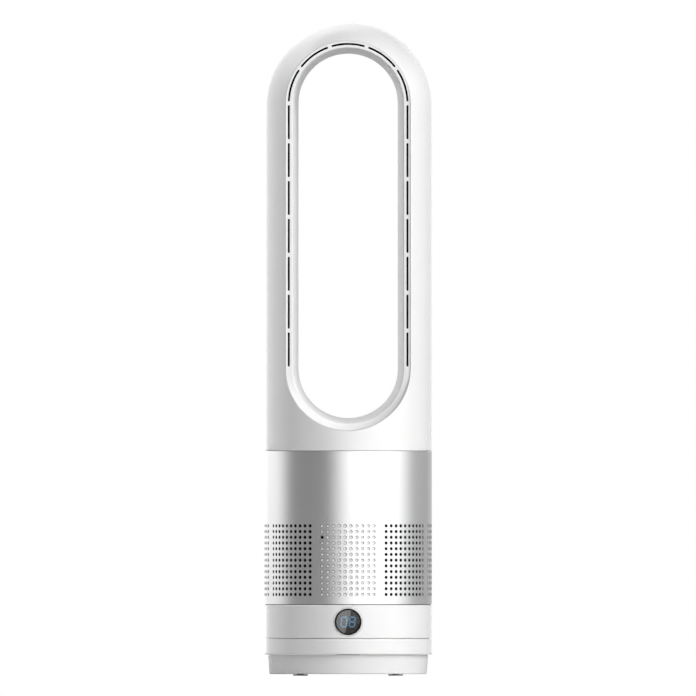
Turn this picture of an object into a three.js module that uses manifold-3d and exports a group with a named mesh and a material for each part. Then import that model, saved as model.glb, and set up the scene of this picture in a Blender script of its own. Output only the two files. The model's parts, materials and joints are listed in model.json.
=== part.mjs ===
// Bladeless tower fan, in millimetres, +Z up, front towards -Y, standing on z = 0.
//
// A plinth with a ball turntable carries the turning body: a bottom cover, a control band with a round
// display that presses in, a perforated metal sleeve over a windowed liner, a ducted impeller, and the
// hollow head. The head is a capsule shell cut by a long round-ended opening; its slotted nozzle ring
// blows forward round that opening.

import * as THREE from "three";
import { mergeVertices } from "three/addons/utils/BufferGeometryUtils.js";
import Module from "manifold-3d";

const wasm = await Module();
wasm.setup();
const { Manifold } = wasm;

// ---------------------------------------------------------------- driving dimensions

const fit = 0.3; // gap between pieces that seat on each other
const wall = 2.5; // moulded plastic wall
const bodyRadius = 102.5; // outer radius of the bands, the sleeve and the head

const footHeight = 2; // rubber showing under the plinth
const footRadius = 9;
const footInset = 15.7; // from the plinth's top rim to the feet's axes
const footSpigotRadius = 4;
const footChamfer = 0.8;

const plinthHeight = 23.4;
const plinthTopRadius = 98;
const plinthDraft = 1.8; // how much smaller the plinth is at its foot
const plinthEdge = 3; // rounding under the plinth
const swivelGap = 0.6; // running gap between plinth and bottom cover
const coverHeight = 19.4;
const seamGap = 0.4; // shadow line between outer pieces
const bandHeight = 40.4;
const sleeveHeight = 188.2;
const sleeveThickness = 1;
const neckHeight = 100.8; // head's lower edge to the opening's lower centre
const openingStraight = 324.5; // between the centres of the opening's round ends
const domeDrop = 3; // the dome's centre lies this far below the opening's upper centre

const hubRadius = 14;
const hubBore = 10.5;
const gearSeatRadius = 20;
const gearSeatHeight = 7.5; // above the plinth's floor
const gearThickness = 6;
const gearModule = 2;
const fixedGearTeeth = 26;
const pinionTeeth = 9;
const gearBacklash = 0.35;
const pressureAngle = THREE.MathUtils.degToRad(22);
const pinionThickness = 7;
const pinionShaftRadius = 2.5;
const weightInnerRadius = 22;
const weightClearance = 4.5; // ballast to the power jack
const weightThickness = 4.7;
const washerRadius = 20;
const washerThickness = 1.5;
const snapRingThickness = 1.2;
const snapRingWidth = 4.4;
const snapRingBite = 1.2; // depth of its groove in the hub
const snapRingMouth = 8; // gap between its ends

const ballRadius = 3;
const ballCount = 6;
const ballCircle = 62;
const ballClearance = 0.15;
const grooveDepth = 0.8;
const grooveHalfWidth = 2.8;
const raceHalfWidth = 5;
const upperRaceThickness = 3;
const cageThickness = 2;
const cageHalfWidth = 4.5;

const stepperRadius = 14;
const stepperHeight = 19;
const stepperEarSpan = 42;
const stepperEarWidth = 7;
const stepperEarThickness = 1;
const stepperLeadSink = 2; // lead block's foot below the can's top
const shaftHoleRadius = 5;

const boardWidth = 120;
const boardDepth = 64;
const boardThickness = 1.6;
const boardHeight = 24; // board above the cover's floor
const postRadius = 4;
const postInset = 6;
const transformer = [26, 22, 17];
const heatSink = [3, 34, 15];
const connector = [22, 7, 9];
const capacitorRadius = 6;
const capacitorHeight = 19;
const boardMargin = 6; // edge of the board left free

const displayHeight = 20; // display's axis above the band's lower edge
const bezelRadius = 16;
const bezelWall = 1.3;
const bezelDepth = 8.5;
const lensThickness = 1.5;
const collarWall = 1.4;
const collarDepth = 12;
const collarFlange = 1.5;
const ledWidth = 20;
const ledHeight = 15;
const ledThickness = 3.5;
const plungerRadius = 1.7;
const plungerLength = 3.7;
const pressTravel = 0.8;
const switchSide = 6;

const jackRadius = 5;
const jackBore = 2.75;
const jackBoreDepth = 9.5;
const jackPinRadius = 1.05;
const jackPinRecess = 1.2; // pin's tip behind the jack's face
const jackHeight = 10.5; // jack's axis above the plinth's underside
const jackBodyWidth = 11;
const jackBodyDepth = 11;
const jackLength = 15;

const deckThickness = 2.5;
const deckHoleRadius = 8; // for the motor's leads
const windowMargin = 1.5; // window beyond the panel of holes behind which it lies
const ledgeWidth = 4.5;
const ledgeThickness = 2;
const filterThickness = 3;

const panels = 8;
const holeColumns = 4;
const holeColumnPitch = THREE.MathUtils.degToRad(9);
const holeRows = 5;
const holeSide = 6.6;
const holeRowPitch = 20;
const holeBandHeight = 14.8; // lowest row's axis above the sleeve's lower edge

const ductRadius = 66;
const ductWall = 2.5;
const bellRadius = 80;
const bellHeight = 12;
const intakeGap = 17.5; // deck to bellmouth
const ductOutlet = 13; // duct's top below the head's lower edge
const impellerHeight = 46;
const impellerLift = 10; // impeller's foot above the bellmouth's lip
const blades = 7;
const bladeThickness = 2;
const bladeSweep = THREE.MathUtils.degToRad(52);
const tipClearance = 0.7;
const hubFootRadius = 12;
const hubTopRadius = 41;
const hubShell = 3;
const bossRadius = 8;
const bossLength = 34;
const motorShaftRadius = 3;
const shaftTail = 5; // shaft below the impeller
const nutRadius = 6;
const nutHeight = 4;

const diffuserGap = 4; // impeller to diffuser
const diffuserHeight = 60;
const diffuserRing = 2.3;
const podRadius = 44;
const podWall = 2.5;
const vanes = 6;
const vaneThickness = 2;
const vaneSweep = THREE.MathUtils.degToRad(26);
const bearingRadius = 8;
const bearingWidth = 5;
const bearingBoss = 2.7;
const statorBore = 20.2;
const statorHeight = 26;
const statorLift = 14; // above the pod's floor
const statorTeeth = 9;
const rotorRadius = 19.2;
const rotorInset = 1; // rotor's end inside the stator's end
const capLift = 46; // end cap above the pod's floor
const tailHeight = 30;

const throatRadius = 65.5;
const throatDrop = 6.7; // throat tube below the head's base plate
const basePlateThickness = 3;
const spigotDepth = 12;

const lipDepth = 64; // nozzle face in front of the head's middle plane
const lipOuter = 76.5; // half width of the recess that the nozzle ring sits in
const lipInner = 67.8;
const slotLine = 72.8; // half width at the slots' centre line
const slotWidth = 1.8;
const slotBridge = 4.6; // plastic left between two slots
const sideSlots = 7;
const crownSlots = 5;
const trimThickness = 2.5; // nozzle plate and opening wall
const shelfWidth = 2.5; // ledge that the nozzle ring and the opening wall rest on
const waistHalfWidth = 60.7; // narrowest half width, near the back
const waistDepth = 48;
const flareWidth = 9.5;
const headSplit = 0.3; // gap along the line where the two head shells meet

const receiverRadius = 3;
const receiverLength = 9;
const receiverAngle = THREE.MathUtils.degToRad(-18); // from the front, towards the left side
const receiverHeight = 82.8; // above the sleeve's lower edge
const receiverEye = 1.6; // radius of the hole in front of it

// ---------------------------------------------------------------- levels and radii worked out from them

const plinthFloor = footHeight + wall;
const plinthTop = footHeight + plinthHeight;
const coverBottom = plinthTop + swivelGap;
const coverFloor = coverBottom + wall;
const coverTop = coverBottom + coverHeight;
const bandBottom = coverTop + seamGap;
const bandTop = bandBottom + bandHeight;
const sleeveBottom = bandTop + seamGap;
const sleeveTop = sleeveBottom + sleeveHeight;
const headBottom = sleeveTop + seamGap;
const openingLower = headBottom + neckHeight;
const openingUpper = openingLower + openingStraight;
const domeCentre = openingUpper - domeDrop;

const deckBottom = bandTop + fit;
const deckTop = deckBottom + deckThickness;
const sleeveInner = bodyRadius - sleeveThickness;
const linerRadius = sleeveInner - fit;
const linerInner = linerRadius - wall;
const linerBore = linerInner * Math.cos(Math.PI / (4 * panels)) - fit; // what fits in the faceted liner
const linerBottom = deckTop + fit;
const linerTop = sleeveTop;
const lowestHole = sleeveBottom + holeBandHeight;
const receiverAxis = sleeveBottom + receiverHeight;
const windowBottom = lowestHole - holeSide / 2 - windowMargin;
const windowTop = lowestHole + (holeRows - 1) * holeRowPitch + holeSide / 2 + windowMargin;
const ledgeBottom = windowTop + windowMargin;
const flangeBottom = ledgeBottom + ledgeThickness + fit;

const ductBottom = deckTop + intakeGap;
const ductTop = headBottom - ductOutlet;
const impellerBottom = ductBottom + impellerLift;
const impellerTop = impellerBottom + impellerHeight;
const podBottom = impellerTop + diffuserGap;
const podTop = podBottom + diffuserHeight;
const capBottom = podBottom + capLift;

const gearBottom = plinthFloor + gearSeatHeight + fit;
const pinionDistance = (gearModule * (fixedGearTeeth + pinionTeeth)) / 2;
const pinionBottom = gearBottom + (gearThickness - pinionThickness) / 2;
const washerBottom = coverFloor + fit;
const snapRingBottom = washerBottom + washerThickness + fit;
const grooveRadius = hubRadius - snapRingBite;
const hubTop = snapRingBottom + snapRingThickness + fit + 2 * fit;

const upperRaceBottom = coverBottom - fit - upperRaceThickness;
const ballCentre = upperRaceBottom + grooveDepth - ballClearance - ballRadius;
const lowerRaceTop = ballCentre - ballRadius - ballClearance + grooveDepth;
const weightBottom = plinthFloor + fit;
const lowerRaceBottom = weightBottom + weightThickness + fit;

const plinthRadiusAt = (z) => plinthTopRadius - plinthDraft * (1 - (z - footHeight) / plinthHeight);
const jackAxis = footHeight + jackHeight;
const jackFace = plinthRadiusAt(jackAxis) - fit;
const jackBodyFace = jackFace - 2 * wall;
const weightOuterRadius = jackBodyFace - jackBodyDepth - weightClearance;
const footCircle = plinthTopRadius - footInset;

const displayAxis = bandBottom + displayHeight;
const displayFront = bodyRadius; // distance of the bezel's face in front of the axis
const collarInner = bezelRadius + fit;
const collarOuter = collarInner + collarWall;
const headInner = bodyRadius - wall;

// ---------------------------------------------------------------- shapes

const roundSteps = 4 * panels; // facets round the outer rings, with an edge in the middle of each panel
const innerSteps = 24;
const smallSteps = 16;
const pinSteps = 8;
const footSteps = 12;
const openingSteps = 10; // along each round end of the opening
const domeSteps = 6;
const cavitySteps = 3;

/** The largest radius that turns freely inside a ring of flat facets. */
const inscribed = (radius, steps) => radius * Math.cos(Math.PI / steps);

/** A closed geometry as a solid that can be cut and joined. */
function solidOf(geometry) {
  const bare = new THREE.BufferGeometry();
  bare.setAttribute("position", geometry.getAttribute("position"));
  bare.setIndex(geometry.index);
  const merged = mergeVertices(bare);
  const corners = merged.index.array;
  const kept = [];
  for (let i = 0; i < corners.length; i += 3) {
    const [a, b, c] = corners.subarray(i, i + 3);
    if (a !== b && b !== c && c !== a) kept.push(a, b, c);
  }
  const build = (triangles) =>
    new Manifold(
      new wasm.Mesh({
        numProp: 3,
        vertProperties: merged.attributes.position.array,
        triVerts: new Uint32Array(triangles),
      }),
    );
  const made = build(kept);
  return made.volume() > 0 ? made : build(kept.reverse());
}

function geometryOf(solid) {
  const mesh = solid.getMesh();
  const geometry = new THREE.BufferGeometry();
  geometry.setAttribute("position", new THREE.BufferAttribute(mesh.vertProperties, 3));
  geometry.setIndex(new THREE.BufferAttribute(mesh.triVerts, 1));
  return geometry;
}

const join = (...pieces) => geometryOf(Manifold.union(pieces.map(solidOf)));
const cut = (body, ...tools) => geometryOf(solidOf(body).subtract(Manifold.union(tools.map(solidOf))));
const common = (a, b) => geometryOf(solidOf(a).intersect(solidOf(b)));

/** Turns a closed outline of [radius, height] points about the Z axis. */
function revolve(outline, steps = roundSteps) {
  const points = [...outline, outline[0]].map(([radius, z]) => new THREE.Vector2(radius, z));
  return geometryOf(solidOf(new THREE.LatheGeometry(points, steps).rotateX(Math.PI / 2)));
}

const disc = (radius, bottom, top, steps) =>
  revolve([[0, bottom], [radius, bottom], [radius, top], [0, top]], steps);

const ring = (inner, outer, bottom, top, steps) =>
  revolve([[inner, bottom], [outer, bottom], [outer, top], [inner, top]], steps);

/** Extrudes a closed outline of [x, y] points from one height to another. */
function prism(outline, bottom, top, holes = []) {
  const path = (points) => points.map(([x, y]) => new THREE.Vector2(x, y));
  const shape = new THREE.Shape(path(outline));
  shape.holes = holes.map((hole) => new THREE.Path(path(hole)));
  const options = { depth: top - bottom, bevelEnabled: false };
  return new THREE.ExtrudeGeometry(shape, options).translate(0, 0, bottom);
}

const box = (width, depth, height, x = 0, y = 0, bottom = 0) =>
  new THREE.BoxGeometry(width, depth, height).translate(x, y, bottom + height / 2);

/** Turns a shape made along +Z so that its +Z points to the front, -Y. */
const faceFront = (geometry) => geometry.rotateX(Math.PI / 2);

/** Skins a list of sections with equal numbers of points; a closed list joins its last to its first. */
function loft(sections, closed = false) {
  const count = sections[0].length;
  const positions = sections.flat(2);
  const index = [];
  const spans = closed ? sections.length : sections.length - 1;
  for (let s = 0; s < spans; s++) {
    const here = s * count;
    const next = ((s + 1) % sections.length) * count;
    for (let p = 0; p < count; p++) {
      const q = (p + 1) % count;
      index.push(here + p, here + q, next + p, here + q, next + q, next + p);
    }
  }
  if (!closed) {
    const last = (sections.length - 1) * count;
    for (let p = 1; p < count - 1; p++) index.push(0, p + 1, p, last, last + p, last + p + 1);
  }
  const geometry = new THREE.BufferGeometry();
  geometry.setAttribute("position", new THREE.BufferAttribute(new Float32Array(positions), 3));
  geometry.setIndex(index);
  return geometryOf(solidOf(geometry));
}

/** Outline of a spur gear with a tooth centred on +X, as [x, y] points. */
function gearOutline(teeth) {
  const pitch = (gearModule * teeth) / 2;
  const base = pitch * Math.cos(pressureAngle);
  const tip = pitch + gearModule * 0.9;
  const root = pitch - gearModule * 1.2;
  const involute = (radius) => {
    const angle = Math.acos(Math.min(1, base / radius));
    return Math.tan(angle) - angle;
  };
  const halfAtPitch = Math.PI / (2 * teeth) - gearBacklash / (2 * pitch);
  const halfAngle = (radius) => halfAtPitch + involute(pitch) - involute(Math.max(radius, base));
  const flank = [root, pitch, tip];
  const outline = [];
  for (let tooth = 0; tooth < teeth; tooth++) {
    const middle = (2 * Math.PI * tooth) / teeth;
    for (const radius of flank) outline.push([radius, middle - halfAngle(radius)]);
    for (const radius of [...flank].reverse()) outline.push([radius, middle + halfAngle(radius)]);
  }
  return outline.map(([radius, angle]) => [radius * Math.cos(angle), radius * Math.sin(angle)]);
}

const circle = (radius, steps) =>
  Array.from({ length: steps }, (_, i) => {
    const angle = (2 * Math.PI * i) / steps;
    return [radius * Math.cos(angle), radius * Math.sin(angle)];
  });

/** The centre height and direction of each station round the long opening. */
const openingStations = [[openingUpper, 0], [openingLower, Math.PI]].flatMap(([centre, start]) => {
  const angleAt = (i) => start + (Math.PI * i) / openingSteps;
  return Array.from({ length: openingSteps + 1 }, (_, i) => ({ centre, angle: angleAt(i) }));
});

const onOpening = ({ centre, angle }, halfWidth, y) => [
  halfWidth * Math.cos(angle),
  y,
  centre + halfWidth * Math.sin(angle),
];

/** Sweeps a closed outline of [half width, y] points round the opening. */
const sweepOpening = (outline) => {
  const sectionAt = (station) => outline.map(([halfWidth, y]) => onOpening(station, halfWidth, y));
  return loft(openingStations.map(sectionAt), true);
};

/** A plug of the opening's shape, from y = front to y = back. */
function openingPlug(halfWidth, front, back) {
  const outline = openingStations.map((station) => onOpening(station, halfWidth, 0));
  return faceFront(prism(outline.map(([x, , z]) => [x, z]), -back, -front));
}

/** A cylinder with a hemispherical top: the head's form, inside and out. */
function capsule(radius, bottom, domeRings, steps) {
  const outline = [[0, bottom], [radius, bottom]];
  for (let i = 0; i < domeRings; i++) {
    const angle = (Math.PI / 2) * (i / domeRings);
    outline.push([radius * Math.cos(angle), domeCentre + radius * Math.sin(angle)]);
  }
  return revolve([...outline, [0, domeCentre + radius]], steps);
}

// ---------------------------------------------------------------- materials

const finish = (color, roughness, metalness = 0) =>
  new THREE.MeshStandardMaterial({ color, roughness, metalness });
const whitePlastic = finish(0xeeeeec, 0.35);
const blackPlastic = finish(0x17181a, 0.5);
const glossBlack = finish(0x0c0c0d, 0.15);
const smokedLens = finish(0x1e2124, 0.05);
const brushedSteel = finish(0xc4c6c8, 0.3, 1);
const steelPlate = finish(0x7a7d80, 0.5, 1);
const polishedSteel = finish(0xd8dadc, 0.12, 1);
const rubber = finish(0x2b2c2e, 0.85);
const foam = finish(0x141416, 0.95);
const acetal = finish(0xe8e4d8, 0.4);
const circuitBoard = finish(0x1d5a38, 0.6);
const brass = finish(0xc9a24a, 0.3, 1);
const windings = finish(0xb0643a, 0.45, 0.8);
const zinc = finish(0xb9bcc0, 0.4, 1);

const fan = new THREE.Group();
const base = new THREE.Group();
const turret = new THREE.Group();
fan.add(base, turret);

function add(group, name, geometry, material, position = [0, 0, 0]) {
  geometry.computeVertexNormals();
  const mesh = new THREE.Mesh(geometry, material);
  mesh.name = name;
  mesh.position.set(...position);
  group.add(mesh);
}

// ---------------------------------------------------------------- plinth


function baseTray() {
  const edge = [];
  for (let i = 0; i <= 2; i++) {
    const angle = (Math.PI / 2) * (i / 2);
    const z = footHeight + plinthEdge * (1 - Math.cos(angle));
    edge.push([plinthRadiusAt(z) - plinthEdge * (1 - Math.sin(angle)), z]);
  }
  const shell = revolve([
    [0, footHeight],
    ...edge,
    [plinthTopRadius, plinthTop],
    [plinthTopRadius - wall, plinthTop],
    [plinthRadiusAt(plinthFloor) - wall, plinthFloor],
    [0, plinthFloor],
  ]);
  const hub = revolve(
    [
      [hubBore, footHeight + wall / 2],
      [gearSeatRadius, footHeight + wall / 2],
      [gearSeatRadius, gearBottom - fit],
      [hubRadius, gearBottom - fit],
      [hubRadius, snapRingBottom - fit],
      [grooveRadius, snapRingBottom - fit],
      [grooveRadius, snapRingBottom + snapRingThickness + fit],
      [hubRadius, snapRingBottom + snapRingThickness + fit],
      [hubRadius, hubTop],
      [hubBore, hubTop],
    ],
    smallSteps,
  );
  const footHole = disc(footSpigotRadius + fit, 0, plinthFloor + fit, footSteps);
  const holes = footPlaces.map(([x, y]) => footHole.clone().translate(x, y, 0));
  const jackHole = faceFront(disc(jackRadius + fit, -plinthTopRadius - wall, -jackBodyFace, smallSteps));
  return cut(join(shell, hub), ...holes, jackHole.translate(0, 0, jackAxis));
}

const footPlaces = [[-1, -1], [1, -1], [-1, 1], [1, 1]].map(([x, y]) => [
  (x * footCircle) / Math.SQRT2,
  (y * footCircle) / Math.SQRT2,
]);
const footNames = ["foot_front_left", "foot_front_right", "foot_rear_left", "foot_rear_right"];

const foot = () =>
  revolve(
    [
      [0, 0],
      [footRadius - footChamfer, 0],
      [footRadius, footChamfer],
      [footRadius, footHeight - fit],
      [footSpigotRadius, footHeight - fit],
      [footSpigotRadius, plinthFloor],
      [0, plinthFloor],
    ],
    footSteps,
  );

/** The fixed gear that the drive pinion walks round; one of its gaps faces the pinion. */
function fixedGear() {
  const outline = gearOutline(fixedGearTeeth);
  const hole = circle(hubRadius + fit, smallSteps);
  return prism(outline, 0, gearThickness, [hole]).rotateZ(Math.PI / 2 + Math.PI / fixedGearTeeth);
}

/** A bearing race with its ball groove in the upper face. */
const race = (bottom, top) =>
  revolve([
    [ballCircle - raceHalfWidth, bottom],
    [ballCircle + raceHalfWidth, bottom],
    [ballCircle + raceHalfWidth, top],
    [ballCircle + grooveHalfWidth, top],
    [ballCircle + grooveHalfWidth, top - grooveDepth],
    [ballCircle - grooveHalfWidth, top - grooveDepth],
    [ballCircle - grooveHalfWidth, top],
    [ballCircle - raceHalfWidth, top],
  ], innerSteps);

function snapRing() {
  const inner = grooveRadius + fit;
  const whole = ring(inner, inner + snapRingWidth, 0, snapRingThickness, smallSteps);
  const reach = inner + 2 * snapRingWidth;
  return cut(whole, box(snapRingMouth, reach, 3 * snapRingThickness, 0, -reach / 2, -snapRingThickness));
}

/** The low-voltage inlet in the plinth's rear wall: a barrel in the wall and a body behind it. */
function powerJack() {
  const barrel = disc(jackRadius, -jackFace, jackLength - jackFace, smallSteps);
  const body = box(jackBodyWidth, jackBodyWidth, jackBodyDepth, 0, 0, -jackBodyFace);
  const bore = disc(jackBore, -jackFace - fit, jackBoreDepth - jackFace, smallSteps);
  return faceFront(cut(join(barrel, body), bore));
}

const jackPin = () =>
  faceFront(disc(jackPinRadius, jackPinRecess - jackFace, jackBoreDepth - jackFace - fit, pinSteps));

add(base, "base_tray", baseTray(), whitePlastic);
footNames.forEach((name, i) => add(base, name, foot(), rubber, [...footPlaces[i], 0]));
const ballast = ring(weightInnerRadius, weightOuterRadius, 0, weightThickness, innerSteps);
add(base, "base_weight", ballast, steelPlate, [0, 0, weightBottom]);
add(base, "fixed_gear", fixedGear(), acetal, [0, 0, gearBottom]);
add(base, "lower_race", race(lowerRaceBottom, lowerRaceTop), acetal);
const washer = ring(hubRadius + fit, washerRadius, 0, washerThickness, smallSteps);
add(base, "thrust_washer", washer, acetal, [0, 0, washerBottom]);
add(base, "snap_ring", snapRing(), polishedSteel, [0, 0, snapRingBottom]);
add(base, "power_jack", powerJack(), blackPlastic, [0, 0, jackAxis]);
add(base, "jack_pin", jackPin(), brass, [0, 0, jackAxis]);

// ---------------------------------------------------------------- ball turntable

const ballRing = new THREE.Group();
ballRing.position.z = ballCentre;
fan.add(ballRing);

const ballPlaces = Array.from({ length: ballCount }, (_, i) => {
  const angle = (2 * Math.PI * (i + 0.5)) / ballCount;
  return [ballCircle * Math.cos(angle), ballCircle * Math.sin(angle), 0];
});

function ballCage() {
  const inner = ballCircle - cageHalfWidth;
  const whole = ring(inner, ballCircle + cageHalfWidth, -cageThickness / 2, cageThickness / 2, innerSteps);
  const pocket = disc(ballRadius + fit, -cageThickness, cageThickness, pinSteps);
  return cut(whole, ...ballPlaces.map((place) => pocket.clone().translate(...place)));
}

add(ballRing, "ball_cage", ballCage(), acetal);
const ball = () => new THREE.SphereGeometry(ballRadius, smallSteps / 2, pinSteps / 2);
ballPlaces.forEach((place, i) => add(ballRing, `bearing_ball_${i + 1}`, ball(), polishedSteel, place));

// ---------------------------------------------------------------- bottom cover and swivel drive

const postPlaces = [[-1, -1], [1, -1], [-1, 1], [1, 1]].map(([x, y]) => [
  x * (boardWidth / 2 - postInset),
  y * (boardDepth / 2 - postInset),
]);
const boardBottom = coverFloor + boardHeight;

function bottomCover() {
  const shell = revolve([
    [hubRadius + 2 * fit, coverBottom],
    [bodyRadius, coverBottom],
    [bodyRadius, coverTop],
    [bodyRadius - wall, coverTop],
    [bodyRadius - wall, coverFloor],
    [hubRadius + 2 * fit, coverFloor],
  ]);
  const post = disc(postRadius, coverFloor - wall / 2, boardBottom - fit, pinSteps);
  const posts = postPlaces.map(([x, y]) => post.clone().translate(x, y, 0));
  const shaftHole = disc(shaftHoleRadius, coverBottom - fit, coverFloor + fit, smallSteps);
  return cut(join(shell, ...posts), shaftHole.translate(0, pinionDistance, 0));
}

/** A canned stepper motor with two ears and its lead block, on top of the cover's floor. */
function stepper() {
  const can = disc(stepperRadius, 0, stepperHeight, smallSteps);
  const ears = box(stepperEarSpan, stepperEarWidth, stepperEarThickness);
  const leads = box(stepperRadius, stepperRadius / 2, stepperHeight - stepperLeadSink, 0, stepperRadius, stepperLeadSink / 2);
  const screwHole = disc(postRadius / 2, -stepperEarThickness, 2 * stepperEarThickness, pinSteps);
  const earHole = (stepperEarSpan - stepperEarWidth) / 2;
  return cut(
    join(can, ears, leads),
    screwHole.clone().translate(-earHole, 0, 0),
    screwHole.clone().translate(earHole, 0, 0),
  );
}

/** The circuit board with its transformer, two capacitors, heat sink and connector. */
function powerBoard() {
  const sunk = boardThickness / 2;
  const side = boardWidth / 2 - postInset - postRadius - boardMargin;
  const front = boardMargin - boardDepth / 2;
  const capacitor = disc(capacitorRadius, sunk, capacitorHeight, pinSteps);
  return join(
    box(boardWidth, boardDepth, boardThickness),
    box(...transformer, transformer[0] / 2 - side, 0, sunk),
    capacitor.clone().translate(2 * capacitorRadius, 2 * capacitorRadius, 0),
    capacitor.translate(-capacitorRadius, 2 * capacitorRadius, 0),
    box(...heatSink, side - heatSink[0] / 2, 0, sunk),
    box(...connector, 0, front + connector[1] / 2, sunk),
  );
}

add(turret, "bottom_cover", bottomCover(), whitePlastic);
const upperRace = race(-upperRaceThickness, 0).rotateX(Math.PI);
add(turret, "upper_race", upperRace, acetal, [0, 0, upperRaceBottom]);
add(turret, "swivel_motor", stepper(), zinc, [0, pinionDistance, coverFloor + fit]);
add(turret, "power_board", powerBoard(), circuitBoard, [0, 0, boardBottom]);

const pinion = new THREE.Group();
pinion.position.y = pinionDistance;
fan.add(pinion);
const pinionHole = circle(pinionShaftRadius + fit, pinSteps);
const pinionShape = prism(gearOutline(pinionTeeth), 0, pinionThickness, [pinionHole]);
add(pinion, "drive_pinion", pinionShape.rotateZ(-Math.PI / 2), acetal, [0, 0, pinionBottom]);
const pinionShaft = disc(pinionShaftRadius, pinionBottom - fit, coverFloor, pinSteps);
add(pinion, "pinion_shaft", pinionShaft, polishedSteel);

// ---------------------------------------------------------------- control band and display

function controlBand() {
  const inner = bodyRadius - wall;
  const spigotOuter = inner - fit;
  const shell = revolve([
    [bodyRadius, bandBottom],
    [bodyRadius, bandTop],
    [inner, bandTop],
    [inner, bandBottom + wall],
    [spigotOuter - wall, bandBottom + wall],
    [spigotOuter - wall, coverTop - 2 * wall],
    [spigotOuter, coverTop - 2 * wall],
    [spigotOuter, bandBottom],
  ]);
  const hole = faceFront(disc(collarOuter + fit, bodyRadius / 2, bodyRadius + wall, smallSteps));
  const flangeRoom = faceFront(
    disc(collarOuter + collarFlange + fit, bodyRadius / 2, flangeFace + fit / 2, smallSteps),
  );
  return cut(shell, hole.translate(0, 0, displayAxis), flangeRoom.translate(0, 0, displayAxis));
}

// The display's pieces are made along +Z and then turned to face the front, with the bezel's face at
// z = displayFront.
const collarFace = Math.sqrt(bodyRadius ** 2 - collarOuter ** 2);
const collarBack = collarFace - collarDepth;
const bezelBack = displayFront - bezelDepth;
const switchFront = bezelBack - plungerLength + pressTravel * 2;
const flangeFace = Math.sqrt(headInner ** 2 - (collarOuter + collarFlange) ** 2) - 2 * fit;

const displayCollar = () =>
  faceFront(
    revolve(
      [
        [collarInner, collarBack],
        [collarOuter, collarBack],
        [collarOuter, flangeFace - collarFlange],
        [collarOuter + collarFlange, flangeFace - collarFlange],
        [collarOuter + collarFlange, flangeFace],
        [collarOuter, flangeFace],
        [collarOuter, collarFace],
        [collarInner, collarFace],
      ],
      smallSteps,
    ),
  );

const switchBoardShape = () =>
  faceFront(disc(collarOuter, collarBack - fit - boardThickness, collarBack - fit, smallSteps));

/** The press switch on its board; the display's plunger slides in its bore. */
function pressSwitch() {
  const body = box(switchSide, switchSide, switchFront - collarBack, 0, 0, collarBack);
  const boreBottom = bezelBack - plungerLength - pressTravel - fit;
  return faceFront(cut(body, disc(plungerRadius + fit, boreBottom, switchFront + fit, pinSteps)));
}

const displayBezel = () =>
  faceFront(
    revolve(
      [
        [0, bezelBack - plungerLength],
        [plungerRadius, bezelBack - plungerLength],
        [plungerRadius, bezelBack],
        [bezelRadius, bezelBack],
        [bezelRadius, displayFront],
        [bezelRadius - bezelWall, displayFront],
        [bezelRadius - bezelWall, bezelBack + bezelWall],
        [0, bezelBack + bezelWall],
      ],
      smallSteps,
    ),
  );

const lensFace = displayFront - fit;
const displayLens = () =>
  faceFront(disc(bezelRadius - bezelWall - fit, lensFace - lensThickness, lensFace, smallSteps));
const ledBlock = () => faceFront(box(ledWidth, ledHeight, ledThickness, 0, 0, bezelBack + bezelWall + fit));

add(turret, "control_band", controlBand(), whitePlastic);
add(turret, "display_collar", displayCollar(), whitePlastic, [0, 0, displayAxis]);
add(turret, "switch_board", switchBoardShape(), circuitBoard, [0, 0, displayAxis]);
add(turret, "press_switch", pressSwitch(), blackPlastic, [0, 0, displayAxis]);

const displayButton = new THREE.Group();
displayButton.position.z = displayAxis;
fan.add(displayButton);
add(displayButton, "display_bezel", displayBezel(), glossBlack);
add(displayButton, "display_lens", displayLens(), smokedLens);
add(displayButton, "led_module", ledBlock(), blackPlastic);

// ---------------------------------------------------------------- intake: deck, liner and sleeve

const intakeDeck = () => ring(deckHoleRadius, linerRadius, deckBottom, deckTop);

/** The liner behind the sleeve, with a window behind every second panel of holes. */
function intakeLiner() {
  const shell = revolve([
    [linerInner, linerBottom],
    [linerRadius, linerBottom],
    [linerRadius, linerTop],
    [linerInner, linerTop],
    [linerInner, ledgeBottom + ledgeThickness],
    [linerInner - ledgeWidth, ledgeBottom + ledgeThickness],
    [linerInner - ledgeWidth, ledgeBottom],
    [linerInner, ledgeBottom],
  ]);
  const columnSpan = holeColumnPitch * (holeColumns - 1);
  const half = columnSpan / 2 + (holeSide / 2 + windowMargin) / bodyRadius;
  const windows = [];
  for (let i = 1; i < panels; i += 2) {
    const middle = (2 * Math.PI * i) / panels;
    const reach = bodyRadius / Math.cos(half);
    const wedge = [
      [0, 0],
      [reach * Math.cos(middle - half), reach * Math.sin(middle - half)],
      [(reach / Math.cos(half)) * Math.cos(middle), (reach / Math.cos(half)) * Math.sin(middle)],
      [reach * Math.cos(middle + half), reach * Math.sin(middle + half)],
    ];
    windows.push(prism(wedge, windowBottom, windowTop));
  }
  const receiverHole = faceFront(disc(receiverRadius + fit, linerInner - wall, bodyRadius, pinSteps));
  return cut(shell, ...windows, receiverHole.rotateZ(receiverAngle).translate(0, 0, receiverAxis));
}

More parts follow.
